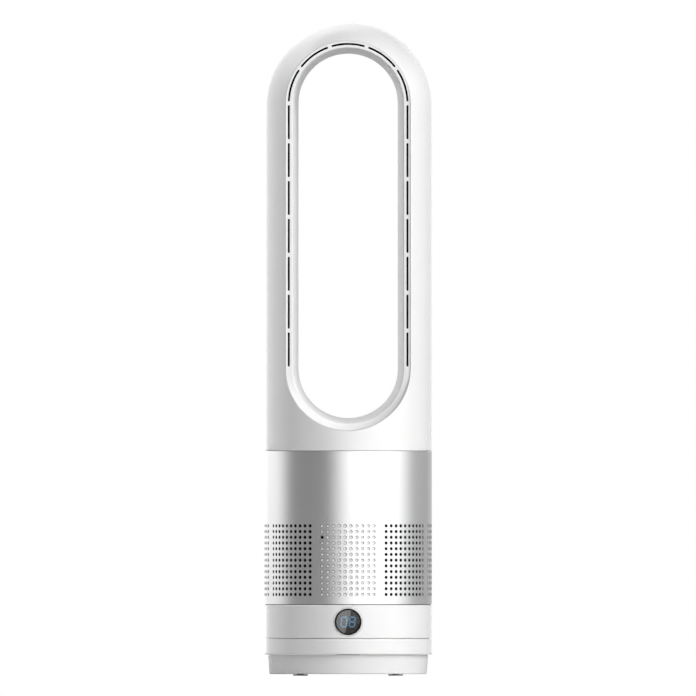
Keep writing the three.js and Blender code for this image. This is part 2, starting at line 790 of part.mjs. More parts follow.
/** The steel sleeve: a rolled sheet with a grid of holes in each panel, one column to a facet. */
function perforatedSleeve() {
  const sheet = ring(sleeveInner, bodyRadius, sleeveBottom, sleeveTop);
  const punch = box(holeSide, 4 * sleeveThickness, holeSide, 0, -sleeveInner, -holeSide / 2);
  const punches = [];
  for (let panel = 0; panel < panels; panel++)
    for (let column = 0; column < holeColumns; column++)
      for (let row = 0; row < holeRows; row++) {
        const turn = (2 * Math.PI * panel) / panels + (column - (holeColumns - 1) / 2) * holeColumnPitch;
        punches.push(punch.clone().rotateZ(turn).translate(0, 0, lowestHole + row * holeRowPitch));
      }
  const eye = faceFront(disc(receiverEye, sleeveInner / 2, bodyRadius + wall, pinSteps));
  return cut(sheet, ...punches, eye.rotateZ(receiverAngle).translate(0, 0, receiverAxis));
}

/** The foam tube behind the liner's windows, with a hole for the remote receiver. */
function dustFilter() {
  const outer = linerInner - fit;
  const tube = ring(outer - filterThickness, outer, linerBottom, ledgeBottom - fit);
  const hole = faceFront(disc(receiverRadius + 2 * fit, linerInner / 2, bodyRadius, pinSteps));
  return cut(tube, hole.rotateZ(receiverAngle).translate(0, 0, receiverAxis));
}

function receiver() {
  const body = disc(receiverRadius, linerRadius - receiverLength, linerRadius - fit, pinSteps);
  return faceFront(body).rotateZ(receiverAngle);
}

add(turret, "intake_deck", intakeDeck(), blackPlastic);
add(turret, "intake_liner", intakeLiner(), whitePlastic);
add(turret, "intake_filter", dustFilter(), foam);
add(turret, "perforated_sleeve", perforatedSleeve(), brushedSteel);
add(turret, "remote_receiver", receiver(), glossBlack, [0, 0, receiverAxis]);

// ---------------------------------------------------------------- duct, impeller and motor

function impellerDuct() {
  const outer = ductRadius + ductWall;
  const throat = ductBottom + bellHeight;
  const rise = bellRadius - ductRadius;
  const bell = (offset) =>
    [0, 35, 90].map((degrees) => {
      const angle = THREE.MathUtils.degToRad(degrees);
      return [
        bellRadius - (rise - offset) * Math.sin(angle),
        throat - (bellHeight - offset) * Math.cos(angle),
      ];
    });
  return revolve([
    ...bell(0),
    [ductRadius, ductTop],
    [outer, ductTop],
    [outer, flangeBottom + wall],
    [linerBore, flangeBottom + wall],
    [linerBore, flangeBottom],
    [outer, flangeBottom],
    ...bell(ductWall).reverse(),
  ], innerSteps);
}

const hubRadiusAt = (u) => hubFootRadius + (hubTopRadius - hubFootRadius) * u ** 0.8;
const hubStations = [0, 0.2, 0.45, 0.72, 1];
const bore = motorShaftRadius + fit;

function impeller() {
  const outside = hubStations.map((u) => [hubRadiusAt(u), impellerBottom + u * impellerHeight]);
  const inside = hubStations
    .slice(1)
    .map((u) => [hubRadiusAt(u) - hubShell, impellerBottom + u * impellerHeight])
    .reverse();
  const boss = [
    [bossRadius, impellerBottom + impellerHeight / 4],
    [bossRadius, impellerBottom + bossLength],
    [bore, impellerBottom + bossLength],
    [bore, impellerBottom],
  ];
  const hub = revolve([...outside, ...inside, ...boss], smallSteps);
  const blade = loft(
    [0.04, 0.35, 0.67, 0.98].map((u) => {
      const z = impellerBottom + u * impellerHeight;
      const angle = bladeSweep * u ** 0.8;
      const inner = hubRadiusAt(u) - hubShell / 2;
      const outer = inscribed(ductRadius, innerSteps) - tipClearance;
      return bladeSection(inner, outer, angle, z, bladeThickness);
    }),
  );
  return join(hub, ...copiesAround(blade, blades));
}

/** Four corners of a radial plate's section: inner and outer radius, one side and the other. */
function bladeSection(inner, outer, angle, z, thickness) {
  const corner = (radius, side) => {
    const turn = angle + (side * thickness) / (2 * radius);
    return [radius * Math.cos(turn), radius * Math.sin(turn), z];
  };
  return [corner(inner, -1), corner(outer, -1), corner(outer, 1), corner(inner, 1)];
}

const copiesAround = (geometry, count) =>
  Array.from({ length: count }, (_, i) => geometry.clone().rotateZ((2 * Math.PI * i) / count));

/** The still vanes above the impeller, with the pod that holds the motor. */
function diffuser() {
  const ringOuter = ductRadius - fit;
  const ringInner = ringOuter - diffuserRing;
  const podInner = podRadius - podWall;
  const outerRing = ring(ringInner, ringOuter, podBottom, podTop, innerSteps);
  const pod = revolve([
    [bearingRadius + fit, podBottom],
    [podRadius, podBottom],
    [podRadius, podTop],
    [podInner, podTop],
    [podInner, podBottom + podWall],
    [bearingRadius + fit + bearingBoss, podBottom + podWall],
    [bearingRadius + fit + bearingBoss, podBottom + bearingWidth + 1],
    [bearingRadius + fit, podBottom + bearingWidth + 1],
  ], innerSteps);
  const vane = loft(
    [0.06, 0.35, 0.94].map((u) => {
      const z = podBottom + u * diffuserHeight;
      const angle = -vaneSweep * (1 - u) ** 2;
      return bladeSection(podRadius - podWall / 2, ringOuter - diffuserRing / 2, angle, z, vaneThickness);
    }),
  );
  return join(outerRing, pod, ...copiesAround(vane, vanes));
}

/** The laminated stator: a ring with teeth pointing at the rotor. */
function stator() {
  const outer = podRadius - podWall - fit;
  const slotBottom = outer - (outer - statorBore) / 3;
  const outline = [];
  for (let tooth = 0; tooth < statorTeeth; tooth++) {
    const middle = (2 * Math.PI * tooth) / statorTeeth;
    const head = (Math.PI / statorTeeth) * 0.82;
    const stem = (Math.PI / statorTeeth) * 0.3;
    const polar = (radius, angle) => outline.push([radius * Math.cos(angle), radius * Math.sin(angle)]);
    polar(slotBottom, middle - stem);
    polar(statorBore + podWall, middle - stem);
    polar(statorBore, middle - head);
    polar(statorBore, middle);
    polar(statorBore, middle + head);
    polar(statorBore + podWall, middle + stem);
    polar(slotBottom, middle + stem);
  }
  return prism(circle(outer, innerSteps), 0, statorHeight, [outline]);
}

const motorCap = () =>
  revolve([
    [bearingRadius + fit, capBottom + wall - bearingWidth],
    [bearingRadius + fit + bearingBoss, capBottom + wall - bearingWidth],
    [bearingRadius + fit + bearingBoss, capBottom],
    [podRadius - podWall - fit, capBottom],
    [podRadius - podWall - fit, capBottom + wall],
    [bearingRadius + fit, capBottom + wall],
  ], innerSteps);

function tailCone() {
  const outside = [];
  const inside = [];
  for (let i = 0; i <= 3; i++) {
    const angle = (Math.PI / 2) * (i / 3);
    outside.push([podRadius * Math.cos(angle), tailHeight * Math.sin(angle)]);
    inside.push([(podRadius - podWall) * Math.cos(angle), (tailHeight - podWall) * Math.sin(angle)]);
  }
  outside[3][0] = 0;
  inside[3][0] = 0;
  return revolve([...outside, ...inside.reverse()], innerSteps);
}

const bearing = () => ring(bore, bearingRadius, 0, bearingWidth, smallSteps);
const statorBottom = podBottom + statorLift;

add(turret, "impeller_duct", impellerDuct(), blackPlastic);
add(turret, "diffuser", diffuser(), blackPlastic);
add(turret, "motor_stator", stator(), windings, [0, 0, statorBottom]);
add(turret, "motor_cap", motorCap(), zinc);
add(turret, "lower_bearing", bearing(), polishedSteel, [0, 0, podBottom + fit]);
add(turret, "upper_bearing", bearing(), polishedSteel, [0, 0, capBottom + wall - bearingWidth]);
add(turret, "tail_cone", tailCone(), blackPlastic, [0, 0, podTop + fit]);

const spinner = new THREE.Group();
fan.add(spinner);
const shaftTop = capBottom + wall + fit;
add(spinner, "impeller", impeller(), blackPlastic);
const motorShaft = disc(motorShaftRadius, impellerBottom - shaftTail, shaftTop, pinSteps);
add(spinner, "motor_shaft", motorShaft, polishedSteel);
const rotor = ring(bore, rotorRadius, 0, statorHeight - 2 * rotorInset, smallSteps);
add(spinner, "motor_rotor", rotor, steelPlate, [0, 0, statorBottom + rotorInset]);
const nut = prism(circle(nutRadius, 6), 0, nutHeight, [circle(bore, pinSteps)]);
add(spinner, "impeller_nut", nut, zinc, [0, 0, impellerBottom - nutHeight - fit]);

// ---------------------------------------------------------------- head

/** The plate that closes the head below, with its throat over the duct and its spigot in the liner. */
function headBase() {
  const bottom = headBottom;
  const throatOuter = throatRadius + ductWall;
  const spigotOuter = linerBore;
  return revolve([
    [throatRadius, bottom - throatDrop],
    [throatOuter, bottom - throatDrop],
    [throatOuter, bottom],
    [spigotOuter - wall, bottom],
    [spigotOuter - wall, linerTop - spigotDepth],
    [spigotOuter, linerTop - spigotDepth],
    [spigotOuter, bottom],
    [headInner - fit, bottom],
    [headInner - fit, bottom + basePlateThickness],
    [throatRadius, bottom + basePlateThickness],
  ], innerSteps);
}

const neckSeal = () =>
  ring(throatRadius, ductRadius + ductWall, ductTop + fit, headBottom - throatDrop - fit, innerSteps);

const shelfFace = lipDepth - trimThickness - fit; // in front of the middle plane, and behind it at the back

/** Both head shells in one: a capsule shell with a recess round the opening, front and back. */
function headShells() {
  const outside = capsule(bodyRadius, headBottom, domeSteps, roundSteps);
  const hollow = cut(outside, capsule(headInner, headBottom - wall, cavitySteps, innerSteps));
  const opened = cut(hollow, openingPlug(lipOuter, -2 * bodyRadius, 2 * bodyRadius));
  const recess = (side) =>
    sweepOpening([
      [lipOuter, side * 2 * bodyRadius],
      [lipOuter + wall, side * 2 * bodyRadius],
      [lipOuter + wall, side * (shelfFace - wall)],
      [lipOuter - shelfWidth, side * (shelfFace - wall)],
      [lipOuter - shelfWidth, side * shelfFace],
      [lipOuter, side * shelfFace],
    ]);
  return join(opened, common(join(recess(-1), recess(1)), outside));
}

function halfOf(whole, side) {
  const span = 4 * bodyRadius;
  const slab = box(span, span, domeCentre * 2, 0, (side * (span + headSplit)) / 2, 0);
  return common(whole, slab);
}

/** A slot in the nozzle plate, between two places along the run up one side, over the top and down. */
function slotTool(from, to, steps) {
  const arc = Math.PI * slotLine;
  const place = (run, halfWidth, y) => {
    if (run < openingStraight) return [halfWidth, y, openingLower + run];
    if (run > openingStraight + arc) return [-halfWidth, y, openingUpper - (run - openingStraight - arc)];
    return onOpening({ centre: openingUpper, angle: (run - openingStraight) / slotLine }, halfWidth, y);
  };
  const inner = slotLine - slotWidth / 2;
  const outer = slotLine + slotWidth / 2;
  const front = -lipDepth - fit;
  const back = trimThickness + fit - lipDepth;
  const sections = Array.from({ length: steps + 1 }, (_, i) => {
    const run = from + ((to - from) * i) / steps;
    return [
      place(run, inner, front),
      place(run, outer, front),
      place(run, outer, back),
      place(run, inner, back),
    ];
  });
  return loft(sections);
}

/** The flat front ring of the head, with its slots up both sides and over the top. */
function nozzleRing() {
  const outer = lipOuter - fit;
  const back = trimThickness - lipDepth;
  const plate = sweepOpening([[lipInner, -lipDepth], [outer, -lipDepth], [outer, back], [lipInner, back]]);
  const arc = Math.PI * slotLine;
  const slots = [];
  const addSlots = (start, length, count, steps) => {
    const pitch = length / count;
    for (let i = 0; i < count; i++) {
      const from = start + i * pitch + slotBridge / 2;
      slots.push(slotTool(from, from + pitch - slotBridge, steps));
    }
  };
  addSlots(0, openingStraight, sideSlots, 1);
  addSlots(openingStraight, arc, crownSlots, 3);
  addSlots(openingStraight + arc, openingStraight, sideSlots, 1);
  return cut(plate, ...slots);
}

/** The tapering wall round the opening, flared at the back into the rear ring. */
function openingWall() {
  const front = trimThickness + fit - lipDepth;
  const flareDepth = lipDepth - waistDepth;
  const flareAxis = waistHalfWidth + flareWidth;
  const flare = (thickness) =>
    [0, 45, 90].map((degrees) => {
      const angle = THREE.MathUtils.degToRad(degrees);
      return [
        flareAxis - (flareWidth - thickness) * Math.cos(angle),
        waistDepth + (flareDepth - thickness) * Math.sin(angle),
      ];
    });
  return sweepOpening([
    [lipInner, front],
    ...flare(0),
    [lipOuter - fit, lipDepth],
    [lipOuter - fit, lipDepth - trimThickness],
    ...flare(trimThickness).reverse(),
    [lipInner + trimThickness, front],
  ]);
}

const shells = headShells();
add(turret, "neck_seal", neckSeal(), rubber);
add(turret, "head_base", headBase(), whitePlastic);
add(turret, "head_front_shell", halfOf(shells, -1), whitePlastic);
add(turret, "head_rear_shell", halfOf(shells, 1), whitePlastic);
add(turret, "nozzle_ring", nozzleRing(), whitePlastic);
add(turret, "opening_wall", openingWall(), whitePlastic);

export default fan;
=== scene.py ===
"""Looks of a free-standing bladeless fan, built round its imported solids.

Lengths in this script are in millimetres and become metres where a mesh is made. The fan faces -Y and
stands on the floor at z = 0. Round outer pieces, whose solids are faceted, are rebuilt here with true
curves, rolled edges and the full grid of holes. The pieces inside keep their solids and get materials.
"""

import json
import math

import bmesh
import bpy
import numpy as np
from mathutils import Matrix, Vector


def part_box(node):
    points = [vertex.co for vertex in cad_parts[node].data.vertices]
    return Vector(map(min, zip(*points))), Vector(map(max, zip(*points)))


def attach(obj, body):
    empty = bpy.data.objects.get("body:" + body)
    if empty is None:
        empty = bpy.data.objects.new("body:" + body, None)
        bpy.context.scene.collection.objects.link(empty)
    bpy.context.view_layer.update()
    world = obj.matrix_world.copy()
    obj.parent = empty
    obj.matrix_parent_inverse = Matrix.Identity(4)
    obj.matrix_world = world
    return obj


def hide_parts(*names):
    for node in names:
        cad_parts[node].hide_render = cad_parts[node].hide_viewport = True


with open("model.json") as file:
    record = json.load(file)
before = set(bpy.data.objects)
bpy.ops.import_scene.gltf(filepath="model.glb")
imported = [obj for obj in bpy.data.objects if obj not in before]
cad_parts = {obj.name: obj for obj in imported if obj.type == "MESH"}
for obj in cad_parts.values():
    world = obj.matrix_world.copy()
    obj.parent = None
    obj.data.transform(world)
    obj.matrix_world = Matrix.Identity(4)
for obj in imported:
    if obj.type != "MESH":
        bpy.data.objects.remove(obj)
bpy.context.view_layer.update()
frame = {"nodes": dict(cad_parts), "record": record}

MM = 0.001
TAU = 2 * math.pi
X, Y, Z = 0, 1, 2


def low(node, axis):
    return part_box(node)[0][axis] / MM


def high(node, axis):
    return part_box(node)[1][axis] / MM


def middle(node, axis):
    return (low(node, axis) + high(node, axis)) / 2


# ---------------------------------------------------------------- sizes, read from the frame or set here

FIT = 0.3  # gap between seated pieces
WALL = 2.5  # moulded wall
SEAM = 0.9  # shadow line between outer pieces
SWIVEL_GAP = 0.25  # running gap under the turning body
ROLL = 0.8  # rounding of the outer pieces' edges
ROUND_STEPS = 180

BODY_RADIUS = high("control_band", X)
FOOT_HEIGHT = low("base_tray", Z)
PLINTH_RADIUS = high("base_tray", X)
PLINTH_DRAFT = 1.8
COVER_LOW = low("bottom_cover", Z)
COVER_FLOOR = COVER_LOW + WALL
SOLID_SEAM = 0.4  # the gap that the solids leave between outer pieces
COVER_TOP = low("control_band", Z) + 2 * WALL - SOLID_SEAM
BAND_LOW = COVER_TOP + SEAM
BAND_TOP = high("control_band", Z)
SLEEVE_LOW = low("perforated_sleeve", Z)
SLEEVE_TOP = high("perforated_sleeve", Z)
SHEET = 0.6  # thickness of the steel
LINER_GAP = 0.2  # between the steel and the liner
LINER_RADIUS = BODY_RADIUS - SHEET - LINER_GAP
HEAD_LOW = low("head_front_shell", Z)
DOME_CENTRE = high("head_front_shell", Z) - BODY_RADIUS
RING_OUTER = high("nozzle_ring", X)
RING_FRONT = low("nozzle_ring", Y)
RING_BACK = high("nozzle_ring", Y)
LIP_INNER = 67.8  # half width of the opening at its front lip
LIP_GROOVE = 0.6  # shadow line between the ring's lip and the wall behind it
RING_FORWARD = 2.4  # how far the ring stands forward, for a shallow recess at its sides
RECESS = RING_OUTER + FIT
OPENING_LOW = low("nozzle_ring", Z) + RING_OUTER
OPENING_HIGH = high("nozzle_ring", Z) - RING_OUTER
WAIST = 60.7  # half width of the opening at its narrowest
WAIST_DEPTH = 48  # how far behind the middle plane that is
DISPLAY_HEIGHT = middle("display_bezel", Z)
BEZEL_RADIUS = high("display_bezel", X)
JACK_HEIGHT = middle("power_jack", Z)
RECEIVER_HEIGHT = middle("remote_receiver", Z)
RECEIVER_ANGLE = math.radians(-18)

PANELS = 8
HOLE_COLUMNS = 10
HOLE_PITCH = 4  # degrees
HOLE_ROWS = 13
HOLE_ROW_PITCH = 7
HOLE_RADIUS = 1.8
HOLE_SHADE_LINE = 0.45  # width of the painted shade line round a hole
HOLE_SHADE_FADE = 0.15  # width of that line's own soft edge
CELL_SQUARES = 4  # squares of the sleeve's grid along each side of a hole's cell
LOWEST_HOLE = SLEEVE_LOW + 12.8
PANEL_HALF = HOLE_COLUMNS * HOLE_PITCH / 2  # half the angle that a panel takes

CUT_FROM, CUT_TO = 60, 110  # distances from the axis between which a tool cuts a hole in the body's wall

# ---------------------------------------------------------------- mesh helpers


def add_object(name, data):
    made = bpy.data.objects.new(name, data)
    bpy.context.scene.collection.objects.link(made)
    return made


def mesh_object(name, vertices, faces, closed=True):
    """A mesh over points in millimetres. The faces of a closed one are turned outwards."""
    mesh = bpy.data.meshes.new(name)
    mesh.from_pydata((np.asarray(vertices, float) * MM).tolist(), [], faces)
    work = bmesh.new()
    work.from_mesh(mesh)
    bmesh.ops.remove_doubles(work, verts=work.verts, dist=1e-7)
    bmesh.ops.dissolve_degenerate(work, edges=work.edges, dist=1e-8)
    if closed:
        bmesh.ops.recalc_face_normals(work, faces=work.faces)
    work.to_mesh(mesh)
    work.free()
    return add_object(name, mesh)


def faces_between(here, beyond, count):
    """The faces between two closed loops of points, given the first point of each."""
    return [(here + i, here + (i + 1) % count, beyond + (i + 1) % count, beyond + i) for i in range(count)]


def skin(name, rows):
    """A mesh over rows of points. The rows, and the points of each, close on themselves."""
    rows = np.asarray(rows, float)
    count, across = rows.shape[:2]
    faces = []
    for i in range(count):
        faces += faces_between(i * across, (i + 1) % count * across, across)
    return mesh_object(name, rows.reshape(-1, 3), faces)


def rounded(corners, steps=6, support=0.4):
    """A closed outline of (a, b, radius) corners, with arcs and a close pair of points at their ends."""
    points = []
    for i, (a, b, radius) in enumerate(corners):
        here = np.array((a, b), float)
        if radius == 0:
            points.append(here)
            continue
        before = np.array(corners[i - 1][:2]) - here
        after = np.array(corners[(i + 1) % len(corners)][:2]) - here
        before_length, after_length = np.linalg.norm(before), np.linalg.norm(after)
        before, after = before / before_length, after / after_length
        half = math.acos(np.clip(before @ after, -1, 1)) / 2
        reach = radius / math.tan(half)
        bisector = (before + after) / np.linalg.norm(before + after)
        centre = here + bisector * radius / math.sin(half)
        start, end = here + before * reach - centre, here + after * reach - centre
        sweep = math.pi - 2 * half
        if before_length > reach + 2 * support:
            points.append(here + before * (reach + support))
        for step in range(steps + 1):
            t = step / steps
            arc = start * math.sin((1 - t) * sweep) + end * math.sin(t * sweep)
            points.append(centre + arc / math.sin(sweep))
        if after_length > reach + 2 * support:
            points.append(here + after * (reach + support))
    return points


def turned(name, outline, steps=ROUND_STEPS, centre=(0, 0), start=0):
    """A closed outline of (radius, height) points turned about an upright axis."""
    angles = start + np.arange(steps) * TAU / steps
    rows = [
        [(centre[0] + r * math.cos(a), centre[1] + r * math.sin(a), z) for r, z in outline]
        for a in angles
    ]
    return skin(name, rows)


def facing(name, outline, height, steps=96, angle=0):
    """A closed outline of (radius, distance in front) points turned about a level axis at a height."""
    across = Vector((math.cos(angle), math.sin(angle), 0))
    ahead = Vector((math.sin(angle), -math.cos(angle), 0))
    rows = []
    for a in np.arange(steps) * TAU / steps:
        row = []
        for r, d in outline:
            up = Vector((0, 0, height + r * math.sin(a)))
            row.append(across * (r * math.cos(a)) + up + ahead * d)
        rows.append(row)
    return skin(name, rows)


def disc_outline(radius, bottom, top):
    return [(0, bottom), (radius, bottom), (radius, top), (0, top)]


def settle(piece):
    """Applies a piece's modifiers and its place to its mesh."""
    bpy.context.view_layer.update()
    graph = bpy.context.evaluated_depsgraph_get()
    made = bpy.data.meshes.new_from_object(piece.evaluated_get(graph))
    made.transform(piece.matrix_world)
    name = piece.name
    bpy.data.objects.remove(piece)
    made.name = name
    return add_object(name, made)


def joined(name, *pieces):
    """One piece of several closed meshes."""
    work = bmesh.new()
    for piece in pieces:
        work.from_mesh(piece.data)
        bpy.data.objects.remove(piece)
    mesh = bpy.data.meshes.new(name)
    work.to_mesh(mesh)
    work.free()
    return add_object(name, mesh)


def thickened(piece, thickness):
    """A sheet given its thickness, inwards from its outer face."""
    change = piece.modifiers.new("sheet", "SOLIDIFY")
    change.thickness = thickness * MM
    change.offset = -1
    return settle(piece)


def carved(piece, tool):
    """The piece less the tool."""
    change = piece.modifiers.new("carve", "BOOLEAN")
    change.operation = "DIFFERENCE"
    change.solver = "EXACT"
    change.object = tool
    piece = settle(piece)
    bpy.data.objects.remove(tool)
    return piece


def place(piece, body, slot, nodes=(), sharp=32):
    """Finishes a piece: smooth shading, its body, its slot and the solids that it stands for."""
    piece.data.shade_smooth()
    piece.data.set_sharp_from_angle(angle=math.radians(sharp))
    piece.data.materials.clear()
    piece.data.materials.append(materials[slot])
    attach(piece, body)
    if nodes:
        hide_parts(*nodes)
    return piece


# ---------------------------------------------------------------- materials


class Graph:
    """A node tree, with short ways to add to it."""

    def __init__(self, tree):
        self.nodes = tree.nodes
        self.links = tree.links

    def calc(self, operation, *values):
        """A sum. Each value is a number or the output of a node."""
        node = self.nodes.new("ShaderNodeMath")
        node.operation = operation
        for socket, value in zip(node.inputs, values):
            if isinstance(value, (int, float)):
                socket.default_value = value
            else:
                self.links.new(value, socket)
        return node.outputs["Value"]

    def vector(self, operation, source, constant=(0, 0, 0)):
        node = self.nodes.new("ShaderNodeVectorMath")
        node.operation = operation
        self.links.new(source, node.inputs[0])
        node.inputs[1].default_value = constant
        return node

    def axes(self, source):
        parts = self.nodes.new("ShaderNodeSeparateXYZ")
        self.links.new(source, parts.inputs["Vector"])
        return parts.outputs

    def step(self, source, start, end, least=0.0, most=1.0, form="LINEAR"):
        """A value that goes from least to most while the source goes from start to end."""
        node = self.nodes.new("ShaderNodeMapRange")
        node.interpolation_type = form
        for key, value in {"From Min": start, "From Max": end, "To Min": least, "To Max": most}.items():
            node.inputs[key].default_value = value
        self.links.new(source, node.inputs["Value"])
        return node.outputs["Result"]

    def mix_colour(self, factor, first, second):
        """A blend of two colours. Each is a colour or the output of a node."""
        node = self.nodes.new("ShaderNodeMix")
        node.data_type = "RGBA"
        self.links.new(factor, node.inputs["Factor"])
        for socket, value in ((node.inputs[6], first), (node.inputs[7], second)):
            if isinstance(value, tuple):
                socket.default_value = (*value, 1)
            else:
                self.links.new(value, socket)
        return node.outputs[2]

    def mix_shader(self, factor, first, second, output):
        node = self.nodes.new("ShaderNodeMixShader")
        for socket, source in zip(node.inputs, (factor, first, second)):
            self.links.new(source, socket)
        self.links.new(node.outputs["Shader"], self.nodes[output].inputs["Surface"])


class Finish(Graph):
    """A procedural material round one principled shader."""

    def __init__(self, name, roughness, metallic=0.0, **constants):
        self.material = bpy.data.materials.new(name)
        self.material.use_nodes = True
        super().__init__(self.material.node_tree)
        self.shader = self.nodes["Principled BSDF"]
        self.shader.inputs["Roughness"].default_value = roughness
        self.shader.inputs["Metallic"].default_value = metallic
        for key, value in constants.items():
            self.shader.inputs[key.replace("_", " ")].default_value = value
        self.place = self.nodes.new("ShaderNodeTexCoord").outputs["Object"]

    def texture(self, kind, source=None, **settings):
        """A texture over the object's own coordinates, or over those given."""
        node = self.nodes.new("ShaderNodeTex" + kind)
        for key, value in settings.items():
            node.inputs[key.replace("_", " ")].default_value = value
        self.links.new(source or self.place, node.inputs["Vector"])
        return node

    def noise(self, scale, detail=2.0, stretch=(1, 1, 1)):
        mapping = self.nodes.new("ShaderNodeMapping")
        mapping.inputs["Scale"].default_value = stretch
        self.links.new(self.place, mapping.inputs["Vector"])
        return self.texture("Noise", mapping.outputs["Vector"], Scale=scale, Detail=detail).outputs["Fac"]

    def ramp(self, source, stops):
        """The colours between two stops of (value, colour)."""
        ramp = self.nodes.new("ShaderNodeValToRGB")
        for element, (position, colour) in zip(ramp.color_ramp.elements, stops):
            element.position = position
            element.color = (*colour, 1)
        self.links.new(source, ramp.inputs["Fac"])
        return ramp.outputs["Color"]

    def colour(self, source, stops):
        self.links.new(self.ramp(source, stops), self.shader.inputs["Base Color"])
        return self

    def rough(self, source, least, most):
        spread = self.step(source, 0.3, 0.7, least, most)
        self.links.new(spread, self.shader.inputs["Roughness"])
        return self

    def bump(self, source, strength, distance):
        bump = self.nodes.new("ShaderNodeBump")
        bump.inputs["Strength"].default_value = strength
        bump.inputs["Distance"].default_value = distance
        self.links.new(source, bump.inputs["Height"])
        self.links.new(bump.outputs["Normal"], self.shader.inputs["Normal"])
        return self


def grey(value, warm=0.0):
    return (value + warm, value, value - warm)


def plastic(name, value, roughness, warm=0.0, grain=2600, **gloss):
    """Moulded plastic: a faint mottle in its colour, uneven gloss and a fine eroded grain."""
    finish = Finish(name, roughness, **gloss)
    mottle, unevenness, pits = finish.noise(38, 3), finish.noise(90, 4), finish.noise(grain, 2)
    finish.colour(mottle, [(0.3, grey(value * 0.985, warm)), (0.7, grey(value, warm))])
    finish.rough(unevenness, roughness * 0.9, roughness * 1.1)
    return finish.bump(pits, 0.12, 0.00004)


def metal(name, colour, roughness, stretch, scale):
    """Worked metal: streaks along the tool's way in its colour, gloss and surface."""
    finish = Finish(name, roughness, 1.0)
    dark = tuple(c * 0.985 for c in colour)
    streaks = finish.noise(scale, 3, stretch)
    finish.colour(streaks, [(0.3, dark), (0.7, colour)])
    finish.rough(streaks, roughness * 0.96, roughness * 1.04)
    return finish.bump(streaks, 0.015, 0.00001)


def punched_steel():
    """Brushed sheet with painted shade: a grey line round each punched hole, where its edge would lie in
    shade.
    """
    finish = metal("sleeve_steel", (0.80, 0.80, 0.805), 0.30, ROUND_Z, 2400)
    finish.shader.inputs["Specular Tint"].default_value = (0.85, 0.85, 0.85, 1)
    calc, place_on = finish.calc, finish.axes(finish.place)
    turn = calc("ARCTAN2", place_on["X"], calc("MULTIPLY", place_on["Y"], -1.0))
    degrees = calc("MULTIPLY", turn, 180 / math.pi)
    in_panel = calc("WRAP", degrees, 180 / PANELS, -180 / PANELS)
    half_column = HOLE_PITCH / 2
    in_column = calc("WRAP", calc("SUBTRACT", in_panel, half_column), half_column, -half_column)
    across = calc("MULTIPLY", in_column, math.radians(BODY_RADIUS * MM))
    height = calc("SUBTRACT", place_on["Z"], LOWEST_HOLE * MM)
    half_row = HOLE_ROW_PITCH / 2 * MM
    up = calc("WRAP", height, half_row, -half_row)
    away = calc("SQRT", calc("ADD", calc("MULTIPLY", across, across), calc("MULTIPLY", up, up)))
    # Painted shade: a grey ring round each hole of the panels, standing in for the shade at the hole's
    # edge.
    hole_shade_end = HOLE_RADIUS + HOLE_SHADE_LINE
    line = finish.step(away, hole_shade_end * MM, (hole_shade_end - HOLE_SHADE_FADE) * MM)
    inside = calc("LESS_THAN", calc("ABSOLUTE", in_panel), PANEL_HALF)
    rows_middle = (HOLE_ROWS - 1) * half_row
    inside = calc("MULTIPLY", inside, calc("COMPARE", height, rows_middle, rows_middle + half_row))
    bare = finish.shader.inputs["Base Color"].links[0].from_socket
    with_hole_shade = finish.mix_colour(calc("MULTIPLY", inside, line), bare, grey(0.30))
    finish.links.new(with_hole_shade, finish.shader.inputs["Base Color"])
    return finish


def smoked_lens():
    """Dark glass, with a painted reflection: a lighter patch over the left of it whose edge leans."""
    finish = Finish("smoked_lens", 0.05, IOR=1.5, Alpha=0.55)
    glare_lean, soft = -0.28, 0.0003
    place_on = finish.axes(finish.place)
    sideways = finish.calc("MULTIPLY_ADD", place_on["Z"], glare_lean, place_on["X"])
    edge = glare_lean * DISPLAY_HEIGHT * MM
    across = finish.step(sideways, edge - soft, edge + soft)
    # The first colour is a painted reflection on the glass; the second is the smoked glass itself.
    finish.colour(across, [(0.0, (0.26, 0.255, 0.25)), (1.0, (0.045, 0.04, 0.036))])
    return finish.rough(finish.noise(400, 2), 0.03, 0.07)


def glowing(name, colour, strength):
    """Lit segments, a little uneven along their length."""
    finish = Finish(name, 0.4, Emission_Strength=strength)
    dark = tuple(c * 0.85 for c in colour)
    lit = finish.ramp(finish.noise(700, 2), [(0.3, dark), (0.7, colour)])
    finish.links.new(lit, finish.shader.inputs["Emission Color"])
    finish.links.new(lit, finish.shader.inputs["Base Color"])
    return finish


def board():
    """Green lacquer over copper tracks."""
    finish = Finish("circuit_board", 0.42)
    lacquer = {"Color1": (0.012, 0.10, 0.04, 1), "Color2": (0.016, 0.13, 0.05, 1)}
    copper = {"Mortar": (0.10, 0.22, 0.07, 1), "Mortar_Size": 0.06}
    tracks = finish.texture("Brick", Scale=130, **lacquer, **copper)
    finish.links.new(tracks.outputs["Color"], finish.shader.inputs["Base Color"])
    return finish.bump(finish.noise(900, 2), 0.2, 0.00005)


def wound():
    """Varnished copper wire in fine turns."""
    finish = Finish("windings", 0.35, 0.8)
    turns = finish.texture("Wave", Scale=420, Distortion=0.6)
    turns.bands_direction = "Z"
    finish.colour(turns.outputs["Fac"], [(0.1, (0.18, 0.05, 0.02)), (0.8, (0.62, 0.24, 0.09))])
    return finish.bump(turns.outputs["Fac"], 0.5, 0.0001)


def rubber_finish():
    """Matt rubber with a pebbled skin."""
    finish = Finish("rubber", 0.8)
    finish.colour(finish.noise(300, 3), [(0.3, grey(0.36)), (0.7, grey(0.42))])
    return finish.bump(finish.noise(1500, 3), 0.4, 0.00012)


def foam():
    """Open-cell foam: small dark cells between thin strands."""
    # The foam is a part of the fan, but its near-black colour also stands in for the shade deep inside the
    # intake, as painted shade.
    finish = Finish("filter_foam", 0.95, Specular_IOR_Level=0.1)
    cells = finish.texture("Voronoi", Scale=700)
    finish.colour(cells.outputs["Distance"], [(0.2, grey(0.002)), (0.8, grey(0.012))])
    return finish.bump(cells.outputs["Distance"], 0.8, 0.0006)


